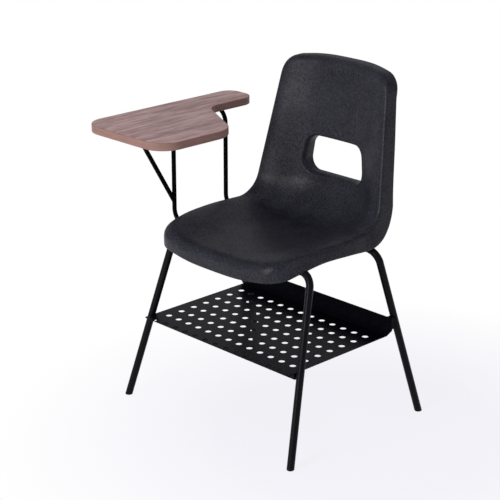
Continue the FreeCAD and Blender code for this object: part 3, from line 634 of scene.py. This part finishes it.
def rim_sizes(z, outline):
    """Roll radius, flange depth and draft round the outline: side values eased to the front and top."""
    whole, seat_end, bend_end = face_breaks(z)[:3]
    shares = outline[:, 1] / whole
    front = soft_step(-outline[:, 3])
    top = soft_step(outline[:, 3])
    places = (0, seat_end / 2, seat_end, bend_end)
    roll = stepped(shares, places, z.side_rolls)
    draft = stepped(shares, places, z.side_drafts)
    bend = (seat_end + bend_end) / 2
    places = (0, seat_end / 2, seat_end, bend, 2 * bend_end - bend, (1 + bend_end) / 2, 1)
    depth = curved(shares, places, z.side_flanges)
    roll = roll + (z.front_roll - roll) * front + (z.top_roll - roll) * top
    depth = depth + (z.front_flange - depth) * front + (z.top_flange - depth) * top
    return roll, depth, draft + (z.side_drafts[0] - draft) * front


def corner_roll(start, corner, end, steps, pull=0.75):
    """Conic curve from a surface into a wall: it leaves towards their corner and arrives from it."""
    part = np.linspace(0, 1, steps + 1)[:, None, None]
    first, middle, last = (1 - part) ** 2, 2 * pull * part * (1 - part), part ** 2
    return (first * start + middle * corner + last * end) / (first + middle + last)


def between(first, last, steps, skip=1):
    """Rows of points on straight lines from one row to another, without the first unless skip is 0."""
    part = np.linspace(0, 1, steps + 1)[skip:, None, None]
    return first + (last - first) * part


def half_round(first, last, bulge, steps):
    """Rows on half circles from one row to another, which bulge in a direction."""
    turn = np.linspace(0, np.pi, steps + 1)[1:, None, None]
    middle = (first + last) / 2
    reach = np.linalg.norm(last - first, axis=-1, keepdims=True) / 2
    return middle + (first - middle) * np.cos(turn) + bulge * reach * np.sin(turn)


def shell_grid(z):
    """Closed wall of the shell: a loop of stations round the wall, for each place round the outline.

    The stations run over the sitting face from the hand opening to the outline, round the rolled
    edge, down the flange and up its inside, over the rear face back to the opening, and round its lip.
    """
    outline = face_outline(z)
    whole = face_breaks(z)[0]
    outer_across = outline[:, 0] / half_width(z, outline[:, 1] / whole)
    outer_share = outline[:, 1] / whole
    hand = hand_outline(z)
    hand_out = np.stack([hand[:, 2], 0 * hand[:, 2], hand[:, 3]], 1)

    def spread(grow, steps, even=0.6):
        """Lines from the grown opening to the outline, with steps closer together at both ends."""
        across, shares = place_on_back(z, hand[:, 0] + hand[:, 2] * grow, hand[:, 1] + hand[:, 3] * grow)
        part = np.linspace(0, 1, steps + 1)[:, None]
        part = even * part + (1 - even) * (0.5 - 0.5 * np.cos(np.pi * part))
        across = across + (outer_across - across) * part
        shares = shares + (outer_share - shares) * part
        return across, shares

    across, shares = spread(z.hand_roll, z.face_steps)
    front_face = face_points(z, across, shares)
    front_away = face_axes(z, across[0], shares[0])[0]
    across, shares = spread(z.lip_wall + z.lip_fillet, z.face_steps * 3 // 4)
    rear_away = face_axes(z, across, shares)[0]
    rear_face = face_points(z, across, shares) + rear_away * z.wall

    away, left, along = face_axes(z, outer_across, outer_share)
    outward = left * outline[:, 2:3] + along * outline[:, 3:4]
    outward = unit(outward - away * np.sum(outward * away, 1, keepdims=True))
    roll, depth, draft = (values[:, None] for values in rim_sizes(z, outline))
    turn = np.linspace(0, 1, ROLL_STEPS + 1)[1:, None, None] * (np.pi / 2 - draft)
    start = front_face[-1]
    outer_roll = start + outward * roll * np.sin(turn) + away * roll * (1 - np.cos(turn))
    inner_roll = (start + outward * (roll - z.wall) * np.sin(turn)
                  + away * (roll - (roll - z.wall) * np.cos(turn)))
    down = away * np.cos(draft) + outward * np.sin(draft)
    drop = down * (depth - z.wall / 2)
    outer_flange = between(outer_roll[-1], outer_roll[-1] + drop, FLANGE_STEPS)
    inner_flange = between(inner_roll[-1], inner_roll[-1] + drop, FLANGE_STEPS, skip=0)[::-1]
    rim = half_round(outer_flange[-1], inner_flange[0], down, RIM_STEPS)[:-1]

    def roll_to_lip(surface, direction, grow, reach, steps):
        """Roll from a surface, which faces a direction, into the lip's wall."""
        inward = -unit(hand_out - direction * np.sum(hand_out * direction, 1, keepdims=True))
        corner = surface - inward * grow / np.sum(inward * hand_out, 1, keepdims=True)
        return corner_roll(surface, corner, corner + BACK * reach, steps)[1:]

    rear_roll = roll_to_lip(rear_face[0], rear_away[0], z.lip_fillet, z.lip_fillet, LIP_FILLET_STEPS)
    front_roll = roll_to_lip(front_face[0], front_away, z.hand_roll, z.hand_roll_depth,
                             HAND_ROLL_STEPS)[::-1]
    lip_end = z.middle_back_y + z.lip_depth - z.lip_wall / 2
    lip_inside = np.stack([hand[:, 0], np.full(len(hand), lip_end), hand[:, 1]], 1)
    lip_outside = lip_inside + hand_out * z.lip_wall
    lip_outer = between(rear_roll[-1], lip_outside, LIP_OUTER_STEPS)
    lip_rim = half_round(lip_outside, lip_inside, BACK, RIM_STEPS)
    lip_inner = between(lip_inside, front_roll[0], LIP_INNER_STEPS)[:-1]
    stations = [front_face, outer_roll, outer_flange, rim, inner_flange, inner_roll[::-1][1:],
                rear_face[::-1], rear_roll, lip_outer, lip_rim, lip_inner, front_roll]
    return np.concatenate(stations)


# Materials


def set_inputs(tree, node, inputs):
    """Sets a node's inputs, by name or number, to values or to the outputs of other nodes."""
    for name, value in inputs.items():
        if isinstance(value, bpy.types.NodeSocket):
            tree.links.new(value, node.inputs[name])
        else:
            node.inputs[name].default_value = value


def add(tree, kind, inputs=None, **settings):
    """A shader node with its settings and its inputs."""
    made = tree.nodes.new(kind)
    for name, value in settings.items():
        setattr(made, name, value)
    set_inputs(tree, made, inputs or {})
    return made


def new_group(name, inputs, outputs):
    """Empty shader group with named sockets; returns its tree, its input node and its output node."""
    tree = bpy.data.node_groups.new(name, "ShaderNodeTree")
    for socket, (kind, default) in inputs.items():
        made = tree.interface.new_socket(socket, in_out="INPUT", socket_type=kind)
        if default is not None:
            made.default_value = default
    for socket, kind in outputs.items():
        tree.interface.new_socket(socket, in_out="OUTPUT", socket_type=kind)
    return tree, tree.nodes.new("NodeGroupInput"), tree.nodes.new("NodeGroupOutput")


def noise(tree, vector, scale, detail, roughness, distortion=0.0):
    return add(tree, "ShaderNodeTexNoise", {"Vector": vector, "Scale": scale, "Detail": detail,
                                            "Roughness": roughness, "Distortion": distortion}).outputs["Fac"]


def ramp(tree, value, low, high, low_out=0.0, high_out=1.0):
    return add(tree, "ShaderNodeMapRange", {"Value": value, "From Min": low, "From Max": high,
                                            "To Min": low_out, "To Max": high_out}).outputs["Result"]


def maths(tree, operation, first, *others):
    """One value after another worked into the first by an operation."""
    for other in others:
        first = add(tree, "ShaderNodeMath", {0: first, 1: other}, operation=operation).outputs[0]
    return first


def mix_colour(tree, factor, first, second):
    return add(tree, "ShaderNodeMix", {0: factor, 6: first, 7: second}, data_type="RGBA").outputs[2]


SCALAR = "NodeSocketFloat"
COLOUR = "NodeSocketColor"
VECTOR = "NodeSocketVector"


def moulded_grain_group(name):
    """Fine stipple of a mould: pebbles from cells, broken up by noise, and a slow mottle."""
    tree, given, out = new_group(
        name, {"Vector": (VECTOR, None), "Pebbles": (SCALAR, 900.0), "Mottle": (SCALAR, 260.0)},
        {"Height": SCALAR, "Tone": SCALAR, "Gloss": SCALAR})
    vector, pebbles, mottle = (given.outputs[socket] for socket in ("Vector", "Pebbles", "Mottle"))
    cells = add(tree, "ShaderNodeTexVoronoi", {"Vector": vector, "Scale": pebbles, "Randomness": 1.0})
    pebble = ramp(tree, cells.outputs["Distance"], 0.05, 0.75, 1.0, 0.0)
    fine = noise(tree, vector, mottle, 4.0, 0.62)
    slow = noise(tree, vector, maths(tree, "MULTIPLY", mottle, 0.11), 3.0, 0.5)
    tone = maths(tree, "ADD", ramp(tree, fine, 0.40, 0.62, 0.0, 0.75),
                 ramp(tree, slow, 0.35, 0.65, 0.0, 0.25))
    height = maths(tree, "ADD", maths(tree, "MULTIPLY", pebble, 0.7), maths(tree, "MULTIPLY", fine, 0.8))
    set_inputs(tree, out, {"Height": height, "Tone": tone, "Gloss": ramp(tree, fine, 0.3, 0.7)})
    return tree


def powder_coat_group(name):
    """Orange peel of a powder coat: two scales of noise, and a slow change in gloss."""
    tree, given, out = new_group(name, {"Vector": (VECTOR, None), "Peel": (SCALAR, 700.0)},
                                 {"Height": SCALAR, "Gloss": SCALAR, "Tone": SCALAR})
    vector = given.outputs["Vector"]
    peel = noise(tree, vector, given.outputs["Peel"], 2.0, 0.5)
    wave = noise(tree, vector, maths(tree, "MULTIPLY", given.outputs["Peel"], 0.22), 2.0, 0.5)
    set_inputs(tree, out, {"Height": maths(tree, "ADD", peel, wave), "Gloss": ramp(tree, wave, 0.3, 0.7),
                           "Tone": ramp(tree, peel, 0.3, 0.7)})
    return tree


def wood_grain_group(name):
    """Straight grain: noise drawn out in broad streaks, fine streaks, fibres and pores.

    The vector's X and Z run across the grain and its Y along it.
    """
    tree, given, out = new_group(
        name, {"Vector": (VECTOR, None), "Light": (COLOUR, None), "Dark": (COLOUR, None),
               "Contrast": (SCALAR, 1.0)},
        {"Color": COLOUR, "Height": SCALAR, "Gloss": SCALAR})

    def drawn(across, along, detail, roughness, distortion=0.0):
        """Noise with one scale across the grain and another along it."""
        vector = add(tree, "ShaderNodeMapping", {"Vector": given.outputs["Vector"],
                                                 "Scale": (across, along, across)}).outputs[0]
        return noise(tree, vector, 1.0, detail, roughness, distortion)

    broad = drawn(50.0, 5.5, 3.0, 0.55, 0.5)
    streak = drawn(190.0, 13.0, 4.0, 0.65, 0.6)
    fibre = drawn(800.0, 60.0, 3.0, 0.6)
    pores = ramp(tree, drawn(1700.0, 90.0, 2.0, 0.5), 0.30, 0.40, 0.14, 0.0)
    tone = maths(tree, "ADD", ramp(tree, broad, 0.36, 0.64, 0.0, 0.34),
                 ramp(tree, streak, 0.36, 0.64, 0.0, 0.42), ramp(tree, fibre, 0.3, 0.7, 0.0, 0.24))
    centred = maths(tree, "MULTIPLY", maths(tree, "SUBTRACT", tone, 0.5), given.outputs["Contrast"])
    factor = maths(tree, "SUBTRACT", maths(tree, "ADD", centred, 0.5), pores)
    factor.node.use_clamp = True
    set_inputs(tree, out, {
        "Color": mix_colour(tree, factor, given.outputs["Dark"], given.outputs["Light"]),
        "Height": maths(tree, "SUBTRACT", fibre, pores), "Gloss": tone})
    return tree


SHADER_GROUPS = {"Moulded grain": moulded_grain_group, "Powder coat": powder_coat_group,
                 "Wood grain": wood_grain_group}


def group_node(tree, name, inputs):
    """A shader group in a material, made the first time that it is used."""
    group = bpy.data.node_groups.get(name) or SHADER_GROUPS[name](name)
    return add(tree, "ShaderNodeGroup", inputs, node_tree=group)


def new_material(name):
    """A material with only its surface shader and output, and object coordinates to read.

    Its name differs from the frame's own materials, which carry the slots' names.
    """
    material = bpy.data.materials.get(name)
    if material:
        return material, None, None, None
    material = bpy.data.materials.new(name)
    material.use_nodes = True
    tree = material.node_tree
    place = tree.nodes.new("ShaderNodeTexCoord").outputs["Object"]
    return material, tree, tree.nodes["Principled BSDF"], place


def rgba(value):
    return (*value, 1.0)


def scaled(value, factor):
    return tuple(part * factor for part in value)


def bump(tree, height, distance):
    return add(tree, "ShaderNodeBump", {"Height": height, "Distance": distance}).outputs["Normal"]


def coated(name, group, tones, rough, depth, scales, constants):
    """Material whose tone, roughness and bumps follow a shader group, each between two values.

    Scales are inputs of the group, and constants are inputs of the surface shader.
    """
    material, tree, shader, place = new_material(name)
    if tree:
        grain = group_node(tree, group, {"Vector": place, **scales}).outputs
        low, high = tones
        set_inputs(tree, shader, {
            "Base Color": mix_colour(tree, grain["Tone"], rgba(low), rgba(high)),
            "Roughness": ramp(tree, grain["Gloss"], 0, 1, *rough),
            "Normal": bump(tree, grain["Height"], depth), **constants})
    return material


def shell_plastic():
    """Charcoal polypropylene with a fine mould grain and a slight mottle."""
    c = bpy.context.scene.chair_finishes
    return coated("charcoal_plastic", "Moulded grain", (c.shell, c.shell_light), rough=(0.50, 0.36),
                  depth=0.00012, scales={}, constants={"Specular IOR Level": 0.24})


def painted(name, base, peel, rough, depth, shine, tint=(1.0, 1.0, 1.0)):
    """Black powder coat on steel, with its shine tinted."""
    return coated(name, "Powder coat", (base, scaled(base, 1.5)), rough, depth, {"Peel": peel},
                  {"Specular IOR Level": shine, "Specular Tint": rgba(tint)})


def frame_paint():
    paint = bpy.context.scene.chair_finishes.paint
    return painted("black_frame_coat", paint, peel=700.0, rough=(0.30, 0.40), depth=0.00006, shine=0.09)


def shaded_rod_paint():
    # The frame's black paint at half its lightness: painted shade for the rods and plates below the tablet
    base = scaled(bpy.context.scene.chair_finishes.paint, 0.5)
    return painted("black_rod_coat_painted_shade", base, peel=700.0, rough=(0.50, 0.60), depth=0.00006, shine=0.02)


def rack_paint():
    paint = bpy.context.scene.chair_finishes.rack_paint
    return painted("black_rack_coat", paint, peel=900.0, rough=(0.27, 0.35), depth=0.00012, shine=0.08,
                   tint=(0.80, 0.80, 1.0))


def bolt_black():
    paint = bpy.context.scene.chair_finishes.paint
    return painted("black_bolt_coat", paint, peel=1500.0, rough=(0.45, 0.55), depth=0.00002, shine=0.03)


def zinc_steel():
    """Zinc plated steel with a faint brushed change in gloss."""
    steel = bpy.context.scene.chair_finishes.steel
    return coated("zinc_plate", "Powder coat", (steel, scaled(steel, 0.8)), rough=(0.28, 0.42),
                  depth=0.00001, scales={"Peel": 1200.0}, constants={"Metallic": 1.0})


def particle_board():
    """Particle board: chips from cells in two tones."""
    board = bpy.context.scene.chair_finishes.board
    return coated("particle_board", "Moulded grain", (scaled(board, 0.6), board), rough=(0.8, 0.9),
                  depth=0.0002, scales={"Pebbles": 500.0, "Mottle": 260.0}, constants={})


def glide_plastic(scuff_height=0.0035, scuff_light=0.012):
    """Black nylon of the glides, scuffed and lighter where it meets the floor."""
    material, tree, shader, place = new_material("black_nylon")
    if tree:
        base = bpy.context.scene.chair_finishes.glide
        grain = group_node(tree, "Moulded grain", {"Vector": place, "Pebbles": 1600.0,
                                                   "Mottle": 500.0}).outputs
        height = add(tree, "ShaderNodeSeparateXYZ", {"Vector": place}).outputs["Z"]
        scuff = maths(tree, "MULTIPLY", ramp(tree, height, 0.0, scuff_height, 1.0, 0.0), grain["Gloss"])
        worn = tuple(scuff_light + value for value in base)
        set_inputs(tree, shader, {
            "Base Color": mix_colour(tree, scuff, rgba(base), rgba(worn)),
            "Roughness": ramp(tree, scuff, 0, 1, 0.45, 0.7), "Specular IOR Level": 0.1,
            "Normal": bump(tree, grain["Height"], 0.00005)})
    return material


def wooden(name, light, dark, contrast, rough, depth, level_grain=False):
    """Wood-grain laminate with the grain along the tablet, or level all round an upright edge."""
    material, tree, shader, place = new_material(name)
    if tree:
        if level_grain:
            apart = add(tree, "ShaderNodeSeparateXYZ", {"Vector": place}).outputs
            along = maths(tree, "ADD", apart["X"], apart["Y"])
            place = add(tree, "ShaderNodeCombineXYZ", {"Y": along, "Z": apart["Z"]}).outputs["Vector"]
        grain = group_node(tree, "Wood grain", {"Vector": place, "Light": rgba(light), "Dark": rgba(dark),
                                                "Contrast": contrast}).outputs
        set_inputs(tree, shader, {
            "Base Color": grain["Color"], "Roughness": ramp(tree, grain["Gloss"], 0, 1, *rough),
            "Specular IOR Level": 0.25, "Normal": bump(tree, grain["Height"], depth)})
    return material


def tablet_wood():
    c = bpy.context.scene.chair_finishes
    return wooden("writing_board_laminate", c.wood_light, c.wood_dark, contrast=2.0, rough=(0.50, 0.42),
                  depth=0.00005)


def tablet_edge_wood():
    edge = bpy.context.scene.chair_finishes.wood_edge
    return wooden("board_edge_laminate", edge, scaled(edge, 0.70), contrast=1.4, rough=(0.52, 0.45),
                  depth=0.00003, level_grain=True)


def tablet_backing():
    backing = bpy.context.scene.chair_finishes.backing
    return wooden("backing_laminate", backing, scaled(backing, 0.85), contrast=0.5, rough=(0.60, 0.55),
                  depth=0.00002)


# Pieces of the leg frames


def leg_point(z, side, end, height):
    """Centre of a leg at a height, on the line from its foot to its corner of the frame."""
    part = height / z.bar_height
    bar = z.rear_bar_from_middle if end > 0 else z.front_bar_from_middle
    foot = np.array([side * z.feet_across / 2, end * z.feet_along / 2, 0.0])
    top = np.array([side * z.tops_across / 2, end * bar, z.bar_height])
    return foot + (top - foot) * part


def leg_path(z, end, arc_steps=22):
    """Centre line of a leg frame, from the left foot over the crossbar to the right foot."""
    places = ((1, z.glide_height), (1, z.bar_height), (-1, z.bar_height), (-1, z.glide_height))
    corners = [leg_point(z, side, end, height) for side, height in places]
    return bent_path(corners, [z.leg_bend_radius] * 2, arc_steps)


def weld_bead(start, end, radius, ripples=9, thin=0.82, swell=0.12, taper=0.25, sides=10):
    """Weld bead between two points: a thin bar whose radius ripples and falls to its ends."""
    part = np.linspace(0, 1, 4 * ripples + 1)
    path = np.asarray(start) + (np.asarray(end) - np.asarray(start)) * part[:, None]
    radii = radius * (thin + swell * np.cos(2 * np.pi * ripples * part)) * np.sin(np.pi * part) ** taper
    return grid_part(rings(path, radii, sides), wrap_columns=True)


def screw_boss(z, base, height, ring, sides=32):
    """Boss with a bore from below; it reaches its full width a washer's height below the seat."""
    radius, bore = z.boss_diameter / 2, z.boss_bore / 2
    wide = radius + z.boss_spread
    return turned(base, [bore, bore, radius - z.boss_edge, radius, wide, wide, 0],
                  [z.boss_hole_depth, 0, 0, z.boss_edge, height - ring, height, height], sides)


class CHAIR_OT_seat_shell(bpy.types.Operator):
    """Make the moulded shell with its rolled edge, flange, hand opening and screw bosses"""
    bl_idname = "chair.seat_shell"
    bl_label = "Seat shell"

    def execute(self, context):
        z = context.scene.chair_shell
        parts = [grid_part(shell_grid(z), wrap_rows=True, wrap_columns=True)]
        low, high = (np.array(corner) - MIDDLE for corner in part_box("shell_washers"))
        washer = z.washer_diameter / 2
        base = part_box("seat_strap_left")[1].z
        steps = 400
        shares = np.linspace(0, face_breaks(z)[1], steps)
        for x in (low[0] + washer, high[0] - washer):
            line = face_points(z, x / half_width(z, shares), shares)
            for y in (low[1] + washer, high[1] - washer):
                top = np.interp(y, line[:, 1], line[:, 2]) - z.wall / 2
                parts.append(screw_boss(z, (x, y, base), top - base, high[2] - low[2]))
        make_piece("seat_shell_moulding", parts, shell_plastic(), ["seat_shell"])
        return {"FINISHED"}


class CHAIR_OT_leg_frames(bpy.types.Operator):
    """Make the two leg frames of bent tube"""
    bl_idname = "chair.leg_frames"
    bl_label = "Leg frames"

    def execute(self, context):
        z = context.scene.chair_frame
        for end, end_name in ENDS:
            part = hollow_bar(leg_path(z, end), z.tube_diameter, z.tube_wall, z.tube_sides, z.glide_height)
            node = f"{end_name}_leg_frame"
            make_piece(node + "_tube", [part], frame_paint(), [node], smooth_angle=50)
        return {"FINISHED"}


class CHAIR_OT_seat_straps(bpy.types.Operator):
    """Finish the straps below the seat and make the weld beads beside the bars and rods on them"""
    bl_idname = "chair.seat_straps"
    bl_label = "Seat straps"

    def execute(self, context):
        z = context.scene.chair_frame
        t = context.scene.chair_tablet
        tuck = 1.4  # how much nearer the bar a bead lies than a ball of its size that touches both
        bars = [(z.rear_bar_from_middle, z.tube_diameter), (-z.front_bar_from_middle, z.tube_diameter),
                (t.front_upright_y, z.rod_diameter), (t.rear_upright_y, z.rod_diameter)]
        beads = []
        for _, side in SIDES:
            node = f"seat_strap_{side}"
            dress_nodes(frame_paint(), node)
            low, high = (np.array(corner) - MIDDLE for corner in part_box(node))
            height = high[2] + z.weld_radius / 2
            for y, diameter in bars:
                for offset in (-1, 1):
                    place = y + offset * math.sqrt(2 * z.weld_radius * diameter) / tuck
                    beads.append(weld_bead((low[0] + z.weld_margin, place, height),
                                           (high[0] - z.weld_margin, place, height), z.weld_radius))
        make_piece("frame_weld_beads", beads, frame_paint(), smooth_angle=70)
        return {"FINISHED"}


class CHAIR_OT_foot_glides(bpy.types.Operator):
    """Finish the plastic glides in the ends of the legs"""
    bl_idname = "chair.foot_glides"
    bl_label = "Foot glides"

    def execute(self, context):
        dress_nodes(glide_plastic(), *(f"foot_glide_{end}_{side}" for _, end in ENDS for _, side in SIDES))
        return {"FINISHED"}


# Pieces of the tablet


def upright_path(t, z, y, arc_steps=20):
    """Centre line of an upright: from the left strap across, up beside the seat, and below the tablet."""
    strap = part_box("seat_strap_left")
    inner = strap[1].x - MIDDLE[0]
    low = strap[1].z + z.rod_diameter / 2
    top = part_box("tablet_plate_front")[0].z - z.rod_diameter / 2
    corners = [(inner, y, low), (-t.upright_from_middle, y, low), (-t.upright_from_middle, y, top),
               (-t.upright_from_middle - t.reach, y, top)]
    return bent_path(corners, [t.low_bend, t.top_bend], arc_steps)


def tablet_corners(t):
    """Corners of the tablet's outline in plan, anticlockwise from the outer front, with their radii."""
    outer, front = (np.array(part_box("tablet_edge_band")[0]) - MIDDLE)[:2]
    arm_inner = outer + t.arm_width
    shoulder = front + t.board_side
    rear = front + t.length_along
    corners = [(outer, front), (outer + t.width, front), (outer + t.width, shoulder),
               (arm_inner, shoulder + t.notch), (arm_inner, rear), (outer, rear)]
    return corners, tuple(t.corner_radii)


def edge_line(points):
    """X of an edge at given Y, from points that run along the edge in order of Y."""
    order = np.argsort(points[:, 1])
    return points[order, 0], points[order, 1]


def tablet_outline_sides(t, inset):
    """The tablet's outer and inner edge as lines from front to rear, moved inwards by an inset."""
    corners, radii = tablet_corners(t)
    flat = [np.array([x, y, 0.0]) for x, y in corners]
    middle = (flat[0] + flat[1]) / 2
    path = bent_path([middle, *flat[1:], flat[0], middle], [*radii[1:], radii[0]], ARC_STEPS)[:-1, :2]
    step = unit(np.roll(path, -1, axis=0) - np.roll(path, 1, axis=0))
    path = path + np.stack([-step[:, 1], step[:, 0]], 1) * inset
    path = np.concatenate([path, path[:1]])
    outermost = 1e-4  # of all points at the rear, the one furthest out ends the sides
    turn = int(np.argmax(path[:, 1] - path[:, 0] * outermost))
    return path[:turn + 1], path[turn:]


def tablet_grid(t, inset, height, columns=22, rows=150, least_gap=0.0002):
    """Grid over the tablet: rows across it from its front edge to the end of the arm rest."""
    inner, outer = tablet_outline_sides(t, inset)
    inner_x, inner_y = edge_line(inner)
    outer_x, outer_y = edge_line(outer)
    front = min(inner_y[0], outer_y[0])
    rear = max(inner_y[-1], outer_y[-1])
    bends = np.unique(np.concatenate([inner_y, outer_y]))
    even = front + (rear - front) * (0.5 - 0.5 * np.cos(np.linspace(0, np.pi, rows)))
    y = np.unique(np.round(np.concatenate([bends, even]), 6))
    y = y[np.concatenate([[True], np.diff(y) > least_gap])]
    y[-1] = rear
    part = np.linspace(0, 1, columns + 1)[None, :]
    left = np.interp(y, outer_y, outer_x)[:, None]
    right = np.interp(y, inner_y, inner_x)[:, None]
    x = left + (right - left) * part
    return np.stack([x, np.broadcast_to(y[:, None], x.shape), np.full_like(x, height)], -1)


def border(grid):
    """Points round the outside of a grid, once."""
    return np.concatenate([grid[0, :-1], grid[:-1, -1], grid[-1, :0:-1], grid[:0:-1, 0]])


def slab_parts(grid, low):
    """Closed slab below a level grid: its top, its underside and its upright edge."""
    under = grid.copy()
    under[..., 2] = low
    edge = np.stack([border(grid), border(under)])
    return [grid_part(grid), grid_part(under), grid_part(edge, wrap_columns=True)]


class CHAIR_OT_tablet_rods(bpy.types.Operator):
    """Make the uprights below the tablet, and finish the brace and the plates"""
    bl_idname = "chair.tablet_rods"
    bl_label = "Tablet rods"

    def execute(self, context):
        z = context.scene.chair_frame
        t = context.scene.chair_tablet
        for name, y in (("front", t.front_upright_y), ("rear", t.rear_upright_y)):
            node = f"tablet_{name}_upright"
            part = solid_bar(upright_path(t, z, y), z.rod_diameter, z.tube_sides)
            make_piece(node + "_rod", [part], shaded_rod_paint(), [node], smooth_angle=50)
        # The brace and plates take the same darker copy of the frame paint, a painted shade
        dress_nodes(shaded_rod_paint(), "tablet_brace", "tablet_plate_front", "tablet_plate_rear",
                    "tablet_plate_brace")
        return {"FINISHED"}


class CHAIR_OT_tablet_board(bpy.types.Operator):
    """Make the tablet's wood-grain top, and finish its edge band, core and backing"""
    bl_idname = "chair.tablet_board"
    bl_label = "Tablet board"

    def execute(self, context):
        t = context.scene.chair_tablet
        low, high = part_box("tablet_top_laminate")
        top = tablet_grid(t, t.band, high.z)
        make_piece("tablet_top", slab_parts(top, low.z), tablet_wood(),
                   ["tablet_top_laminate"], smooth_angle=30)
        dress_nodes(particle_board(), "tablet_core")
        dress_nodes(tablet_backing(), "tablet_bottom_laminate")
        dress_nodes(tablet_edge_wood(), "tablet_edge_band")
        return {"FINISHED"}


class CHAIR_OT_fasteners(bpy.types.Operator):
    """Finish the screws, washers, bolts, nuts and spacers"""
    bl_idname = "chair.fasteners"
    bl_label = "Fasteners"

    def execute(self, context):
        dress_nodes(zinc_steel(), "shell_screws", "shell_washers", "tablet_screws")
        dress_nodes(bolt_black(), "rack_front_bolts", "rack_front_nuts", "rack_rear_bolts", "rack_rear_nuts",
                    "rack_rear_spacers")
        return {"FINISHED"}


class CHAIR_OT_book_rack(bpy.types.Operator):
    """Finish the pierced book rack"""
    bl_idname = "chair.book_rack"
    bl_label = "Book rack"

    def execute(self, context):
        dress_nodes(rack_paint(), "book_rack")
        return {"FINISHED"}


# Stage


def floor_material(s):
    """Pale floor: near the chair it shows its shadow, and it fades to plain white further out."""
    material, tree, shader, place = new_material("studio_floor")
    set_inputs(tree, shader, {"Base Color": rgba(s.floor_colour), "Roughness": 0.75,
                              "Specular IOR Level": 0.15})
    rays = tree.nodes.new("ShaderNodeLightPath").outputs
    seen = maths(tree, "MAXIMUM", rays["Is Camera Ray"], rays["Is Glossy Ray"], rays["Is Transmission Ray"])
    offset = add(tree, "ShaderNodeVectorMath", {0: place, 1: tuple(s.shadow_place)}, operation="SUBTRACT")
    distance = add(tree, "ShaderNodeVectorMath", {0: offset.outputs["Vector"]}, operation="LENGTH")
    away = ramp(tree, distance.outputs["Value"], s.shadow_start, s.shadow_end)
    # Near the chair the glow is tinted darker and bluer than further out: painted shade round the real
    # shadow
    tint = mix_colour(tree, away, rgba(s.shadow_tint), (1.0, 1.0, 1.0, 1.0))
    glow = add(tree, "ShaderNodeEmission", {"Color": tint, "Strength": 1.0})
    fade = ramp(tree, away, 0.0, 1.0, s.shadow_glow, 1.0)
    mixed = add(tree, "ShaderNodeMixShader", {0: maths(tree, "MULTIPLY", fade, seen),
                                              1: shader.outputs[0], 2: glow.outputs[0]})
    set_inputs(tree, tree.nodes["Material Output"], {"Surface": mixed.outputs[0]})
    return material


def make_floor(s, reach=14.0, points_across=9, drop=0.0002):
    """Wide level square just below the feet."""
    line = np.linspace(-reach, reach, points_across)
    x, y = np.meshgrid(line, line)
    points, quads = grid_part(np.stack([x, y, np.full_like(x, -drop)], -1))
    mesh = bpy.data.meshes.new("floor")
    mesh.from_pydata((points + MIDDLE).tolist(), [], quads.tolist())
    mesh.materials.append(floor_material(s))
    floor = bpy.data.objects.new("floor", mesh)
    bpy.context.scene.collection.objects.link(floor)


def make_world(s):
    """Pale surroundings that light the chair evenly."""
    world = bpy.data.worlds.new("studio")
    world.use_nodes = True
    background = world.node_tree.nodes["Background"]
    set_inputs(world.node_tree, background, {"Strength": s.world_strength, "Color": rgba(s.world_colour)})
    bpy.context.scene.world = world


def area_light(name, place, target, size, power):
    """Square soft light at a place, turned towards a target."""
    data = bpy.data.lights.new(name, "AREA")
    data.shape = "SQUARE"
    data.size = size
    data.energy = power
    lamp = bpy.data.objects.new(name, data)
    place = np.asarray(place) + MIDDLE
    direction = unit(np.asarray(target) + MIDDLE - place)
    tilt = math.acos(-direction[2])
    lamp.location = place
    lamp.rotation_euler = (tilt, 0.0, math.atan2(-direction[0], direction[1]))
    bpy.context.scene.collection.objects.link(lamp)


def make_camera(s):
    """Camera at the place from which the photograph was taken."""
    data = bpy.data.cameras.new("camera")
    data.sensor_width = 36.0
    data.lens = s.lens
    data.clip_start = 0.1
    data.clip_end = 60.0
    camera = bpy.data.objects.new("camera", data)
    camera.location = np.array(s.camera_place) + MIDDLE
    camera.rotation_mode = "XYZ"
    camera.rotation_euler = (math.pi / 2 - s.elevation, 0.0, s.azimuth)
    bpy.context.scene.collection.objects.link(camera)
    bpy.context.scene.camera = camera


class CHAIR_OT_stage(bpy.types.Operator):
    """Make the floor, the pale surroundings, the light and the camera"""
    bl_idname = "chair.stage"
    bl_label = "Stage"

    def execute(self, context):
        s = context.scene.chair_stage
        context.scene.view_settings.view_transform = "Standard"
        make_floor(s)
        make_world(s)
        area_light("key", s.key_place, s.key_target, s.key_size, s.key_power)
        make_camera(s)
        return {"FINISHED"}


class CHAIR_PT_pieces(bpy.types.Panel):
    """Lists the chair's pieces"""
    bl_label = "Classroom Chair"
    bl_idname = "CHAIR_PT_pieces"
    bl_space_type = "VIEW_3D"
    bl_region_type = "UI"
    bl_category = "Chair"

    def draw(self, context):
        for operator in OPERATORS:
            self.layout.operator(operator.bl_idname)


OPERATORS = (CHAIR_OT_seat_shell, CHAIR_OT_leg_frames, CHAIR_OT_seat_straps, CHAIR_OT_foot_glides,
             CHAIR_OT_tablet_rods, CHAIR_OT_tablet_board, CHAIR_OT_book_rack, CHAIR_OT_fasteners,
             CHAIR_OT_stage)
CLASSES = (*GROUPS.values(), *OPERATORS, CHAIR_PT_pieces)


def register():
    for made in CLASSES:
        bpy.utils.register_class(made)
    for name, group in GROUPS.items():
        setattr(bpy.types.Scene, name, PointerProperty(type=group))


def unregister():
    for name in GROUPS:
        delattr(bpy.types.Scene, name)
    for made in reversed(CLASSES):
        bpy.utils.unregister_class(made)


def main():
    """Registers the add-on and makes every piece."""
    register()
    bpy.ops.chair.stage()
    bpy.ops.chair.seat_shell()
    bpy.ops.chair.leg_frames()
    bpy.ops.chair.seat_straps()
    bpy.ops.chair.foot_glides()
    bpy.ops.chair.tablet_rods()
    bpy.ops.chair.tablet_board()
    bpy.ops.chair.book_rack()
    bpy.ops.chair.fasteners()


if __name__ == "__main__":
    main()
